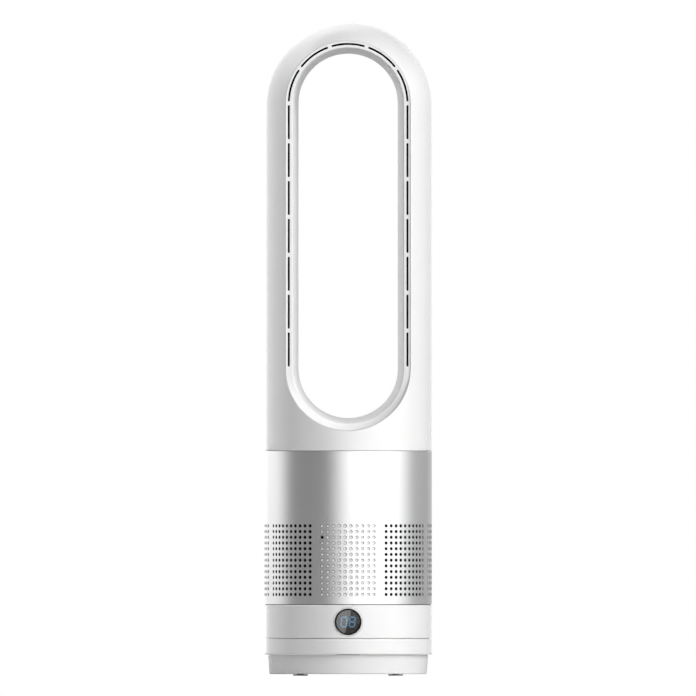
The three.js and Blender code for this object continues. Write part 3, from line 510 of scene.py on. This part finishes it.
ALONG_Z = (1, 1, 0.02)  # stretch of a grain that runs upwards
ROUND_Z = (0.012, 0.012, 1)  # stretch of a grain that runs level
GLAZE = {"Coat_Weight": 1.0, "Coat_Roughness": 0.08, "Coat_IOR": 1.6}
finishes = {
    "white_plastic": plastic("white_plastic", 0.80, 0.45, 0.002, **GLAZE),
    "nozzle_plastic": plastic("nozzle_plastic", 0.82, 0.42, 0.0, 3200),
    "sleeve_steel": punched_steel(),
    "black_plastic": plastic("black_plastic", 0.018, 0.5),
    "gloss_black": plastic("gloss_black", 0.005, 0.3, 0.0, 500, Specular_IOR_Level=0.2),
    "smoked_lens": smoked_lens(),
    "rubber": rubber_finish(),
    "acetal": plastic("acetal", 0.72, 0.4, 0.03, 1800),
    "circuit_board": board(),
    "bearing_steel": metal("bearing_steel", (0.74, 0.75, 0.76), 0.12, (1, 1, 1), 600),
    "ballast": metal("ballast", (0.32, 0.32, 0.33), 0.5, (1, 1, 1), 250),
    "zinc_can": metal("zinc_can", (0.60, 0.61, 0.63), 0.38, ALONG_Z, 900),
    "contact_brass": metal("contact_brass", (0.72, 0.52, 0.22), 0.25, (1, 1, 1), 900),
    "windings": wound(),
    "filter_foam": foam(),
}
materials = {slot: finish.material for slot, finish in finishes.items()}
wall_plastic = plastic("wall_plastic", 0.78, 0.6, Specular_IOR_Level=0.15).material
liner_plastic = plastic("liner_plastic", 0.90, 0.6, Specular_IOR_Level=0.2).material
digit_glow = glowing("digit_glow", (0.13, 0.46, 0.80), 1.9).material
# A dead black with no gloss, for the painted shade strip behind the slots.
slot_shade_black = plastic("slot_shade_black", 0.003, 0.9, Specular_IOR_Level=0.0).material

for subpart in frame["record"]["subparts"]:
    node = frame["nodes"][subpart["node"]]
    node.data.materials.clear()
    node.data.materials.append(materials[subpart["material_slot"]])

# ---------------------------------------------------------------- plinth and feet


def plinth():
    """The tray with its drafted wall, rolled foot, hub and the holes for the feet and the jack."""
    gear_seat = low("fixed_gear", Z) - FIT
    groove_low, groove_top = low("snap_ring", Z) - FIT, high("snap_ring", Z) + FIT
    hub_top, top, floor = high("base_tray", Z), COVER_LOW - SWIVEL_GAP, FOOT_HEIGHT + WALL
    seat, hub, groove, bore = 20, 14, 12.8, 10.5  # radii
    foot_hole, foot_cut = 4.3, 6  # radius of the cuts for the feet, and how high they reach
    jack_hole, jack_cut = 5.3, 88  # radius of the cut for the jack, and how far from the axis it starts
    foot_radius = PLINTH_RADIUS - PLINTH_DRAFT
    outline = rounded(
        [
            (0, FOOT_HEIGHT, 0),
            (foot_radius, FOOT_HEIGHT, 1.2),
            (PLINTH_RADIUS, top, ROLL),
            (PLINTH_RADIUS - WALL, top, ROLL / 2),
            (foot_radius - WALL, floor, 1.5),
            (seat, floor, 0.4),
            (seat, gear_seat, 0.4),
            (hub, gear_seat, 0),
            (hub, groove_low, 0),
            (groove, groove_low, 0),
            (groove, groove_top, 0),
            (hub, groove_top, 0),
            (hub, hub_top, 0.6),
            (bore, hub_top, 0.4),
            (bore, floor, 0),
            (0, floor, 0),
        ]
    )
    tray = turned("plinth", outline)
    foot_tool = disc_outline(foot_hole, 0, foot_cut)
    tools = [turned("foot_hole", foot_tool, 24, centre) for centre in foot_centres.values()]
    tools.append(facing("jack_hole", disc_outline(jack_hole, -CUT_TO, -jack_cut), JACK_HEIGHT, 48))
    return carved(tray, joined("tools", *tools))


def foot_pad(name, centre):
    """A round pad with a hollow under it and a peg into the tray."""
    radius = (high(name, X) - low(name, X)) / 2
    hollow, peg, shoulder, top = 0.4, 4, FOOT_HEIGHT - FIT, high(name, Z)
    outline = rounded(
        [
            (0, hollow, 0),
            (radius * 0.55, hollow, 0),
            (radius * 0.6, 0, 0.15),
            (radius, 0, 0.5),
            (radius, shoulder, 0.3),
            (peg, shoulder, 0),
            (peg, top, 0.5),
            (0, top, 0),
        ],
        4,
        0.2,
    )
    return turned("rubber_" + name, outline, 48, centre)


foot_centres = {}
for name in ("foot_front_left", "foot_front_right", "foot_rear_left", "foot_rear_right"):
    foot_centres[name] = tuple(middle(name, axis) for axis in (X, Y))
place(plinth(), "base", "white_plastic", ["base_tray"])
for name, centre in foot_centres.items():
    place(foot_pad(name, centre), "base", "rubber", [name])

# ---------------------------------------------------------------- bottom cover and control band


def cover():
    """The turning body's floor, with the posts of its circuit board and the motor shaft's hole."""
    inner, hub_hole, shaft_hole = BODY_RADIUS - WALL, 14.6, 5  # radii
    outline = rounded(
        [
            (hub_hole, COVER_LOW, 0.4),
            (BODY_RADIUS, COVER_LOW, 1.0),
            (BODY_RADIUS, COVER_TOP, 0.35),
            (inner, COVER_TOP, 0.3),
            (inner, COVER_FLOOR, 1),
            (hub_hole, COVER_FLOOR, 0.4),
        ]
    )
    tool = disc_outline(shaft_hole, COVER_LOW - 1, COVER_FLOOR + 1)
    tool = turned("tool", tool, 32, (0, middle("pinion_shaft", Y)))
    shell = carved(turned("cover", outline), tool)
    root, top, radius = COVER_FLOOR - 1, low("power_board", Z) - FIT, 4
    post = rounded([(0, root, 0), (radius, root, 0), (radius, top, 0.4), (0, top, 0)])
    posts = [turned("post", post, 32, (x, y)) for x in (-54, 54) for y in (-26, 26)]
    return joined("turning_cover", shell, *posts)


place(cover(), "turret", "white_plastic", ["bottom_cover"])

COLLAR_INNER = BEZEL_RADIUS + FIT
COLLAR_OUTER = COLLAR_INNER + 1.4
FLANGE_RADIUS = high("display_collar", X)
FLANGE_BACK = 96.7  # distances from the axis
FLANGE_FACE = FLANGE_BACK + 1.5


def band():
    """The band with its display hole, on a spigot that stands in the cover."""
    inner = BODY_RADIUS - WALL
    spigot, spigot_low = inner - FIT, low("control_band", Z)
    outline = rounded(
        [
            (BODY_RADIUS, BAND_LOW, 0.4),
            (BODY_RADIUS, BAND_TOP, ROLL),
            (inner, BAND_TOP, 0.3),
            (inner, BAND_LOW + WALL, 0.5),
            (spigot - WALL, BAND_LOW + WALL, 0.5),
            (spigot - WALL, spigot_low, 0.3),
            (spigot, spigot_low, 0.3),
            (spigot, BAND_LOW, 0),
        ]
    )
    hole = facing("tool", disc_outline(COLLAR_OUTER + FIT, CUT_FROM, CUT_TO), DISPLAY_HEIGHT)
    room = disc_outline(FLANGE_RADIUS + FIT, CUT_FROM, FLANGE_FACE + FIT / 2)
    room = facing("tool", room, DISPLAY_HEIGHT)
    return carved(carved(turned("display_band", outline, 240), hole), room)


place(band(), "turret", "white_plastic", ["control_band"])

# ---------------------------------------------------------------- display


def collar():
    """The tube round the button, its front edge following the round body."""
    back = -high("display_collar", Y)
    rows = []
    for angle in np.arange(120) * TAU / 120:

        def body(radius, drop):
            return math.sqrt(BODY_RADIUS**2 - (radius * math.cos(angle)) ** 2) - drop

        outline = [
            (COLLAR_INNER, back),
            (COLLAR_INNER, body(COLLAR_INNER, 0.45)),
            (COLLAR_INNER + 0.1, body(COLLAR_INNER, 0.15)),
            (COLLAR_INNER + 0.35, body(COLLAR_INNER, 0.0)),
            (COLLAR_OUTER - 0.3, body(COLLAR_OUTER - 0.3, 0.0)),
            (COLLAR_OUTER - 0.1, body(COLLAR_OUTER, 0.1)),
            (COLLAR_OUTER, body(COLLAR_OUTER, 0.35)),
            (COLLAR_OUTER, FLANGE_FACE),
            (FLANGE_RADIUS, FLANGE_FACE),
            (FLANGE_RADIUS, FLANGE_BACK),
            (COLLAR_OUTER, FLANGE_BACK),
            (COLLAR_OUTER, back),
        ]
        rows.append([(r * math.cos(angle), -d, DISPLAY_HEIGHT + r * math.sin(angle)) for r, d in outline])
    return skin("button_collar", rows)


def bezel():
    """The button's black cup, with the plunger that works the switch."""
    face, tail, cup = -low("display_bezel", Y), -high("display_bezel", Y), BEZEL_RADIUS
    back, plunger, wall = face - 8.5, 1.7, 1.3
    outline = rounded(
        [
            (0, tail, 0),
            (plunger, tail, 0.4),
            (plunger, back, 0),
            (cup, back, 0.5),
            (cup, face, 0.35),
            (cup - wall, face, 0.3),
            (cup - wall, back + wall, 0.4),
            (0, back + wall, 0),
        ],
        5,
        0.25,
    )
    return facing("button_bezel", outline, DISPLAY_HEIGHT)


def lens():
    """The dark cover glass, domed a little towards its middle."""
    radius, back = high("display_lens", X), -high("display_lens", Y)
    rim, dome = -low("display_lens", Y) - 0.2, 0.35
    angles = np.linspace(0, math.pi / 2, 14)
    front = [(radius * math.sin(a), rim + dome * math.cos(a) ** 2) for a in angles]
    return facing("cover_glass", [*front, (radius, back), (0, back)], DISPLAY_HEIGHT)


SEGMENTS = {  # ends of each bar, in half widths and half heights of the figure
    "top": ((-1, 1), (1, 1)),
    "upper_left": ((-1, 1), (-1, 0)),
    "upper_right": ((1, 1), (1, 0)),
    "middle": ((-1, 0), (1, 0)),
    "lower_left": ((-1, 0), (-1, -1)),
    "lower_right": ((1, 0), (1, -1)),
    "bottom": ((-1, -1), (1, -1)),
}
FIGURES = {"0": [s for s in SEGMENTS if s != "middle"], "8": list(SEGMENTS)}


def digits(text):
    """Seven-segment figures as thin raised bars with pointed ends, on the face of the lit module."""
    face = low("led_module", Y)
    half_width, half_height, bar, slant, pitch = 3.2, 5.9, 0.8, 0.09, 10.2
    gap, thickness = 0.25, 0.25
    vertices, faces = [], []
    for order, figure in enumerate(text):
        centre = (order - (len(text) - 1) / 2) * pitch
        for name in FIGURES[figure]:
            first, last = (np.array(end) * (half_width, half_height) for end in SEGMENTS[name])
            along = (last - first) / np.linalg.norm(last - first)
            side = np.array((-along[1], along[0]))
            a, b = first + along * gap, last - along * gap
            outline = [
                a,
                a + (along + side) * bar,
                b + (side - along) * bar,
                b,
                b - (along + side) * bar,
                a + (along - side) * bar,
            ]
            start, count = len(vertices), len(outline)
            for depth in (0.0, -thickness):
                for x, z in outline:
                    vertices.append((centre + x + slant * z, face + depth, DISPLAY_HEIGHT + z))
            faces.append(tuple(start + count + i for i in range(count)))
            faces.append(tuple(start + i for i in reversed(range(count))))
            faces += faces_between(start, start + count, count)
    return mesh_object("display_digits", vertices, faces)


place(collar(), "turret", "white_plastic", ["display_collar"])
place(bezel(), "display_button", "gloss_black", ["display_bezel"])
place(lens(), "display_button", "smoked_lens", ["display_lens"])
figures = place(digits("08"), "display_button", "smoked_lens", sharp=10)
figures.data.materials[0] = digit_glow

# ---------------------------------------------------------------- sleeve and liner


def round_body(radius, degrees, z):
    """A point of an upright cylinder, at degrees to the right of the front."""
    angle = math.radians(degrees)
    return (radius * math.sin(angle), -radius * math.cos(angle), z)


def add_square(vertices, faces, sides, heights, radii):
    """Adds a flat face of an upright wall between two angles and two heights, with a radius at each."""
    start = len(vertices)
    for side, end in ((0, 0), (1, 0), (1, 1), (0, 1)):
        vertices.append(round_body(radii[end], sides[side], heights[end]))
    faces.append((start, start + 1, start + 2, start + 3))


def sleeve():
    """The rolled sheet with its eight panels of round holes, as one skin that is then thickened."""
    half = CELL_SQUARES // 2
    square = HOLE_ROW_PITCH / CELL_SQUARES
    degrees_step = HOLE_PITCH / CELL_SQUARES
    panel_low = LOWEST_HOLE - HOLE_ROW_PITCH / 2
    panel_top = panel_low + HOLE_ROWS * HOLE_ROW_PITCH
    rim = [(i, -half) for i in range(-half, half)]
    rim += [(half, j) for j in range(-half, half)]
    rim += [(i, half) for i in range(half, -half, -1)]
    rim += [(-half, j) for j in range(half, -half, -1)]
    bore = []
    for k in range(len(rim)):
        angle = -3 * math.pi / 4 + TAU * k / len(rim)
        bore.append((HOLE_RADIUS * math.cos(angle), HOLE_RADIUS * math.sin(angle)))
    per_degree = math.radians(BODY_RADIUS)
    vertices, faces = [], []

    def plain(left, bottom, top):
        sides = (left, left + degrees_step)
        add_square(vertices, faces, sides, (bottom, top), (BODY_RADIUS, BODY_RADIUS))

    def cell(degrees, z):
        start = len(vertices)
        for i, j in rim:
            vertices.append(round_body(BODY_RADIUS, degrees + i * degrees_step, z + j * square))
        for across, up in bore:
            vertices.append(round_body(BODY_RADIUS, degrees + across / per_degree, z + up))
        faces.extend(faces_between(start, start + len(rim), len(rim)))

    edge = 1.5  # height of the squares along the sheet's two edges
    sheet_low = SLEEVE_LOW + 0.8
    levels = [sheet_low, sheet_low + edge, panel_low, panel_top, SLEEVE_TOP - edge, SLEEVE_TOP]
    for bottom, top in zip(levels, levels[1:]):
        if bottom == panel_low:
            continue
        for step in range(round(360 / degrees_step)):
            plain(step * degrees_step, bottom, top)
    for panel in range(PANELS):
        centre = panel * 360 / PANELS
        for column in range(HOLE_COLUMNS):
            degrees = centre + (column - (HOLE_COLUMNS - 1) / 2) * HOLE_PITCH
            for row in range(HOLE_ROWS):
                cell(degrees, LOWEST_HOLE + row * HOLE_ROW_PITCH)
        for step in range(round((360 / PANELS - 2 * PANEL_HALF) / degrees_step)):
            left = centre + PANEL_HALF + step * degrees_step
            for row in range(HOLE_ROWS * CELL_SQUARES):
                plain(left, panel_low + row * square, panel_low + (row + 1) * square)
    return thickened(mesh_object("drilled_sleeve", vertices, faces, closed=False), SHEET)


def liner():
    """The tube behind the sleeve, with a window behind every second panel, a ledge and the eye's hole."""
    bottom, top = low("intake_liner", Z), high("intake_liner", Z)
    around = 5  # from the outermost holes to the window's edge
    window_low = LOWEST_HOLE - around
    window_top = LOWEST_HOLE + (HOLE_ROWS - 1) * HOLE_ROW_PITCH + around
    set_back = 2.5  # behind the seams at the sleeve's ends
    slope = 4  # height over which the wall comes forward again
    levels = [bottom, SLEEVE_LOW + slope, window_low, window_top, SLEEVE_TOP - slope, top]
    radii = [LINER_RADIUS - (set_back if level in (bottom, top) else 0) for level in levels]
    turn_step = 2
    vertices, faces = [], []
    for i in range(len(levels) - 1):
        for left in range(0, 360, turn_step):
            beside = (left + turn_step // 2) % 90 - 45
            if levels[i] == window_low and abs(beside) < PANEL_HALF:
                continue
            add_square(vertices, faces, (left, left + turn_step), levels[i : i + 2], radii[i : i + 2])
    piece = thickened(mesh_object("windowed_liner", vertices, faces, closed=False), WALL)
    eye_radius = 3.3
    eye = facing("tool", disc_outline(eye_radius, 90, CUT_TO), RECEIVER_HEIGHT, 32, RECEIVER_ANGLE)
    piece = carved(piece, eye)
    wall_inner = LINER_RADIUS - WALL
    inner, outer = wall_inner - 4.5, wall_inner + 0.5
    ledge_low = window_top + 1.5
    ledge_top = ledge_low + 2
    ledge = rounded(
        [
            (inner, ledge_low, 0.4),
            (outer, ledge_low, 0),
            (outer, ledge_top, 0),
            (inner, ledge_top, 0.4),
        ]
    )
    return joined("windowed_liner", piece, turned("ledge", ledge))


place(sleeve(), "turret", "sleeve_steel", ["perforated_sleeve"])
backing = place(liner(), "turret", "white_plastic", ["intake_liner"])
backing.data.materials[0] = liner_plastic

# ---------------------------------------------------------------- head

ARC_STEPS = 60  # stations along each round end of the opening
STRAIGHT_STEPS = 10
CORNER_STEP = 0.002  # from a corner of the head's lower edge to the stations at its sides
STRAIGHT = OPENING_HIGH - OPENING_LOW
SLOT_LINE = 72.6  # the slots' distance from the opening's middle line
SLOT_HALF = 1.2  # half a slot's width
SLOT_BRIDGE = 4.5  # from the end of a slot to the next
SIDE_SLOTS = 7
CROWN_SLOTS = 5
SLOT_ARC = math.pi * SLOT_LINE


def opening_stations():
    """Places round the opening: the height of their centre, and the direction away from it."""
    arc = [math.pi * i / ARC_STEPS for i in range(ARC_STEPS)]
    rise = [STRAIGHT * i / STRAIGHT_STEPS for i in range(STRAIGHT_STEPS)]
    corner = math.atan2(OPENING_LOW - HEAD_LOW, BODY_RADIUS)
    lower_arc = list(arc)
    for towards in (corner, math.pi - corner):
        lower_arc += [towards - CORNER_STEP, towards + CORNER_STEP]
    return [
        *((OPENING_HIGH, angle) for angle in arc),
        *((OPENING_HIGH - lift, math.pi) for lift in rise),
        *((OPENING_LOW, math.pi + angle) for angle in sorted(lower_arc)),
        *((OPENING_LOW + lift, TAU) for lift in rise),
    ]


stations = opening_stations()


def at(station, reach):
    """The x and z of a point at a reach from the opening's middle line."""
    centre, angle = station
    return reach * math.cos(angle), centre + reach * math.sin(angle)


def point_at(station, reach, y):
    """The point at a reach from the opening's middle line and at a depth y."""
    x, z = at(station, reach)
    return np.array((x, y, z))


def swept(name, outline):
    """A closed outline of (reach, y) points carried round the opening."""
    return skin(name, [[point_at(station, reach, y) for reach, y in outline] for station in stations])


def depth_of(x, z, radius):
    """How far in front of the middle plane the head's capsule surface lies."""
    above = max(0.0, z - DOME_CENTRE)
    return math.sqrt(max(radius**2 - x**2 - above**2, 0.0))


def outward(point):
    """The direction away from the capsule's middle line."""
    away = Vector((point[0], point[1], max(0.0, point[2] - DOME_CENTRE)))
    return np.array(away.normalized())


def on_capsule(station, reach, radius, least):
    """The point on the front of a capsule at a reach, at least a little in front of the middle plane."""
    x, z = at(station, reach)
    return np.array((x, -max(depth_of(x, z, radius), least), z))


def head_limit(station, radius):
    """How far from the opening's middle line the capsule reaches, and whether its foot ends it."""
    centre, angle = station
    tiny = 1e-9
    if math.sin(angle) >= -tiny and centre > DOME_CENTRE:
        lift = OPENING_HIGH - DOME_CENTRE
        side = lift * math.cos(angle)
        return -lift * math.sin(angle) + math.sqrt(radius**2 - side**2), False
    sideways = radius / max(abs(math.cos(angle)), tiny)
    down = (centre - HEAD_LOW) / max(-math.sin(angle), tiny)
    return min(sideways, down), down < sideways


def spread(index, count):
    """Steps from 0 to 1 that come closer together towards 1."""
    return 1 - (1 - index / count) ** 2


def head_shell(name, side):
    """One half of the head: the capsule's skin from the opening's recess to the split and the foot.

    Each row of points starts beside the recess, goes out over the skin and round the rolled edge at the
    split or the foot, comes back inside, and goes round the shelf behind the ring and up the recess's wall.
    """
    outer_steps, inner_steps, roll_steps = 30, 9, 5
    brim_reach, split, split_roll = 0.5, 0.15, 0.4
    inner_radius = BODY_RADIUS - WALL
    shelf = -RING_BACK - FIT
    shelf_back = shelf - WALL
    shelf_corners = [
        (RECESS + WALL, -shelf_back),
        (RECESS - WALL, -shelf_back),
        (RECESS - WALL, -shelf),
        (RECESS, -shelf),
    ]
    rows = []
    for station in stations:
        limit, at_foot = head_limit(station, BODY_RADIUS)
        roll, margin = (ROLL, ROLL + 0.3) if at_foot else (split_roll, 0.03)
        first = RECESS + brim_reach
        row = []
        for k in range(outer_steps):
            reach = first + (limit - margin - first) * spread(k, outer_steps)
            row.append(on_capsule(station, reach, BODY_RADIUS, split))
        end = on_capsule(station, limit, BODY_RADIUS, split)
        normal = outward(end)
        for k in range(roll_steps + 1):
            a = math.pi / 2 * k / roll_steps
            back = roll * (1 - math.sin(a))
            sunk = roll * (1 - math.cos(a))
            point = end.copy()
            if at_foot:
                point[2] += back
            else:
                point[1] -= back
                above = max(0.0, point[2] - DOME_CENTRE)
                sideways = math.sqrt(max(BODY_RADIUS**2 - point[1] ** 2 - above**2, 0.0))
                point[0] = math.copysign(sideways, point[0])
            row.append(point - normal * sunk)
        row.append(end - normal * WALL)
        inner_first = RECESS + WALL
        inner_limit, _ = head_limit(station, inner_radius)
        for k in reversed(range(inner_steps)):
            reach = inner_first + (inner_limit - inner_first) * spread(k, inner_steps)
            least = split if k else shelf_back + 0.1
            row.append(on_capsule(station, reach, inner_radius, least))
        row += [point_at(station, reach, y) for reach, y in shelf_corners]
        brim = on_capsule(station, RECESS, BODY_RADIUS, 0.0)
        wall_end = brim + np.array((0, min(brim_reach, -brim[1] - shelf - 0.3), 0))
        row.append((wall_end * 3 + point_at(station, RECESS, -shelf)) / 4)
        for k in range(roll_steps + 1):
            t = k / (roll_steps + 1)
            row.append((1 - t) ** 2 * wall_end + 2 * t * (1 - t) * brim + t**2 * row[0])
        rows.append(np.array(row) * (1, side, 1))
    return skin(name, rows)


def track(run, offset):
    """A point beside the slots' line, run along it up the right side, over the top and down the left."""
    reach = SLOT_LINE + offset
    if run < STRAIGHT:
        return reach, OPENING_LOW + run
    if run > STRAIGHT + SLOT_ARC:
        return -reach, OPENING_HIGH - (run - STRAIGHT - SLOT_ARC)
    angle = (run - STRAIGHT) / SLOT_LINE
    return reach * math.cos(angle), OPENING_HIGH + reach * math.sin(angle)


def slot_outline(start, end):
    """A slot with round ends, between two runs along the slots' line."""
    points = []
    first, last = start + SLOT_HALF, end - SLOT_HALF
    for here, there, turn in ((first, last, -math.pi / 2), (last, first, math.pi / 2)):
        offset = math.copysign(SLOT_HALF, turn)
        points += [track(along, offset) for along in np.linspace(here, there, 14)]
        for a in np.linspace(turn, turn + math.pi, 9)[1:-1]:
            points.append(track(there + SLOT_HALF * math.cos(a), SLOT_HALF * math.sin(a)))
    return points


def nozzle():
    """The flat slotted ring, filled between its outlines, with a rolled edge on every one of them."""
    outlines = []
    for reach in (RING_OUTER, LIP_INNER + LIP_GROOVE):
        outlines.append([at(station, reach) for station in stations])
    for start, length, count in (
        (0, STRAIGHT, SIDE_SLOTS),
        (STRAIGHT, SLOT_ARC, CROWN_SLOTS),
        (STRAIGHT + SLOT_ARC, STRAIGHT, SIDE_SLOTS),
    ):
        pitch = length / count
        for i in range(count):
            begin = start + i * pitch + SLOT_BRIDGE / 2
            outlines.append(slot_outline(begin, begin + pitch - SLOT_BRIDGE))
    curve = bpy.data.curves.new("slotted_ring", "CURVE")
    curve.dimensions = "2D"
    curve.fill_mode = "BOTH"
    bevel = 0.2
    curve.bevel_depth = bevel * MM
    curve.offset = -bevel * MM
    curve.bevel_resolution = 2
    curve.extrude = ((RING_BACK - RING_FRONT) / 2 - bevel) * MM
    for outline in outlines:
        spline = curve.splines.new("POLY")
        spline.points.add(len(outline) - 1)
        spline.points.foreach_set("co", [v for x, z in outline for v in (x * MM, z * MM, 0, 1)])
        spline.use_cyclic_u = True
    piece = add_object("slotted_ring", curve)
    piece.rotation_euler = (math.pi / 2, 0, 0)
    piece.location = (0, ((RING_FRONT + RING_BACK) / 2 - RING_FORWARD) * MM, 0)
    return settle(piece)


def tunnel():
    """The wall round the opening: a taper to the waist, then a flare into the rear ring."""
    front, back = low("opening_wall", Y), high("opening_wall", Y)
    flare_depth, flare_width = back - WAIST_DEPTH, 9.5
    axis = WAIST + flare_width

    def flare(thickness):
        width, depth = flare_width - thickness, flare_depth - thickness
        angles = np.linspace(0, math.pi / 2, 13)
        return [(axis - width * math.cos(a), WAIST_DEPTH + depth * math.sin(a)) for a in angles]

    def taper(offset):
        return [
            (LIP_INNER + offset + (WAIST - LIP_INNER) * t, front + (WAIST_DEPTH - front) * t)
            for t in (0.15, 0.4, 0.65, 0.85, 0.95)
        ]

    near, edge = front - RING_FORWARD, 0.4
    outline = [(LIP_INNER + 1.0, near), (LIP_INNER - 0.05, near + 0.8), *taper(0), *flare(0)]
    outline += [(RING_OUTER - edge, back), (RING_OUTER, back - edge), (RING_OUTER, back - WALL)]
    outline += [*reversed(flare(WALL)), *reversed(taper(WALL)), (LIP_INNER + WALL, near)]
    return swept("opening_tunnel", outline)


def slot_shade_strip():
    """A black strip behind the slots, as painted shade that keeps them dark."""
    front, inner, outer = RING_BACK - RING_FORWARD + 0.02, 70.4, 73.9
    back = front + 0.6
    return swept("slot_shade_sheet", [(inner, front), (outer, front), (outer, back), (inner, back)])


place(head_shell("front_shell", 1), "turret", "white_plastic", ["head_front_shell"])
place(head_shell("rear_shell", -1), "turret", "white_plastic", ["head_rear_shell"])
place(nozzle(), "turret", "nozzle_plastic", ["nozzle_ring"])
wall = place(tunnel(), "turret", "white_plastic", ["opening_wall"])
wall.data.materials[0] = wall_plastic
# Painted shade: the black strip behind the slots stands for the shade inside them and is not a part of the
# fan.
slot_shade = place(slot_shade_strip(), "turret", "black_plastic")
slot_shade.data.materials[0] = slot_shade_black

# ---------------------------------------------------------------- floor, light and camera

FLOOR_HALF = 4000
FLOOR_BOUNCE = 0.45  # how much light the floor gives back to the fan
FLOOR_FADE = (0.1, 0.9)  # distances from the fan, in metres, between which the floor becomes the backdrop


def studio_floor():
    """A pale floor that fades into the backdrop."""
    half = FLOOR_HALF * MM
    mesh = bpy.data.meshes.new("floor")
    corners = [(-half, -half, 0), (half, -half, 0), (half, half, 0), (-half, half, 0)]
    mesh.from_pydata(corners, [], [(0, 1, 2, 3)])
    floor = add_object("floor", mesh)
    finish = Finish("floor", 0.6)
    pale = finish.ramp(finish.noise(6, 2), [(0.3, grey(0.90)), (0.7, grey(0.92))])
    white = finish.nodes.new("ShaderNodeEmission")
    white.inputs["Color"].default_value = (1, 1, 1, 1)
    distance = finish.vector("LENGTH", finish.place).outputs["Value"]
    fade = finish.step(distance, *FLOOR_FADE, form="SMOOTHSTEP")
    seen = finish.nodes.new("ShaderNodeLightPath").outputs["Is Camera Ray"]
    tint = finish.mix_colour(seen, grey(FLOOR_BOUNCE), pale)
    finish.links.new(tint, finish.shader.inputs["Base Color"])
    both = finish.calc("MULTIPLY", seen, fade)
    finish.mix_shader(both, finish.shader.outputs["BSDF"], white.outputs["Emission"], "Material Output")
    mesh.materials.append(finish.material)


# Soft panels of light round the studio, low down and higher up. Each has its direction in degrees to the
# right of the front, the half width of its full part, the width of its soft edge, and its strength.
LOW_PANELS = {
    "key": (35.5, 6.7, 61, 1.87),
    "left": (-137, 4, 52, 1.20),
    "rear": (175, 4, 36, 0.65),
    "right": (112, 20, 20, 0.31),
}
HIGH_PANELS = {
    "key": (48, 12, 30, 5.25),
    "left": (-133, 16, 61, 1.50),
}
LOW_AMBIENT = 0.205
HIGH_AMBIENT = 0.165
PANEL_CHANGE = (15, 35)  # elevations between which the low panels give way to the high ones
PANEL_TOP = (45, 65)  # elevations over which the high panels fade out


def studio_light():
    """A white backdrop, seen straight or through glass, and the soft panels that light the fan."""
    world = bpy.data.worlds.new("studio")
    bpy.context.scene.world = world
    world.use_nodes = True
    graph = Graph(world.node_tree)
    calc = graph.calc
    direction = graph.nodes.new("ShaderNodeTexCoord").outputs["Generated"]
    level = graph.vector("MULTIPLY", direction, (1, 1, 0)).outputs["Vector"]
    level = graph.vector("NORMALIZE", level).outputs["Vector"]
    elevation = calc("ARCSINE", graph.axes(direction)["Z"])

    def soft(source, edges, measure):
        start, end = (measure(math.radians(edge)) for edge in edges)
        return graph.step(source, start, end, form="SMOOTHSTEP")

    def panels(table, ambient):
        total = ambient
        for turn, half, width, strength in table.values():
            angle = math.radians(turn)
            towards = graph.vector("DOT_PRODUCT", level, (math.sin(angle), -math.cos(angle), 0))
            panel = soft(towards.outputs["Value"], (half + width, half), math.cos)
            total = calc("MULTIPLY_ADD", panel, strength, total)
        return total

    low_part, high_part = panels(LOW_PANELS, LOW_AMBIENT), panels(HIGH_PANELS, HIGH_AMBIENT)
    raised = soft(elevation, PANEL_CHANGE, float)
    overhead = soft(elevation, PANEL_TOP, float)
    walls = calc("MULTIPLY_ADD", raised, calc("SUBTRACT", high_part, low_part), low_part)
    lit = calc("MULTIPLY", walls, calc("SUBTRACT", 1.0, overhead))
    studio = graph.nodes["Background"]
    backdrop = graph.nodes.new("ShaderNodeBackground")
    for light in (studio, backdrop):
        light.inputs["Color"].default_value = (1, 1, 1, 1)
    graph.links.new(lit, studio.inputs["Strength"])
    seen = graph.nodes.new("ShaderNodeLightPath").outputs
    straight = calc("MAXIMUM", seen["Is Camera Ray"], seen["Is Transmission Ray"])
    graph.mix_shader(straight, studio.outputs["Background"], backdrop.outputs["Background"], "World Output")


PICTURE = 696  # the photograph's width and height, in pixels
PIXEL = 1.2238  # millimetres to a pixel
FLOOR_ROW = 675.7  # row of the photograph at the floor's level
AXIS_COLUMN = 348.1  # column of the photograph on the fan's axis


def camera():
    """A level view from the front without perspective, framed as the photograph is."""
    data = bpy.data.cameras.new("camera")
    data.type = "ORTHO"
    data.ortho_scale = PICTURE * PIXEL * MM
    data.clip_end = 20
    made = add_object("camera", data)
    across = (PICTURE / 2 - AXIS_COLUMN) * PIXEL * MM
    up = (FLOOR_ROW - PICTURE / 2) * PIXEL * MM
    made.location = (across, -2.5, up)
    made.rotation_euler = (math.pi / 2, 0, 0)
    bpy.context.scene.camera = made


studio_floor()
studio_light()
camera()
bpy.context.scene.view_settings.view_transform = "Standard"
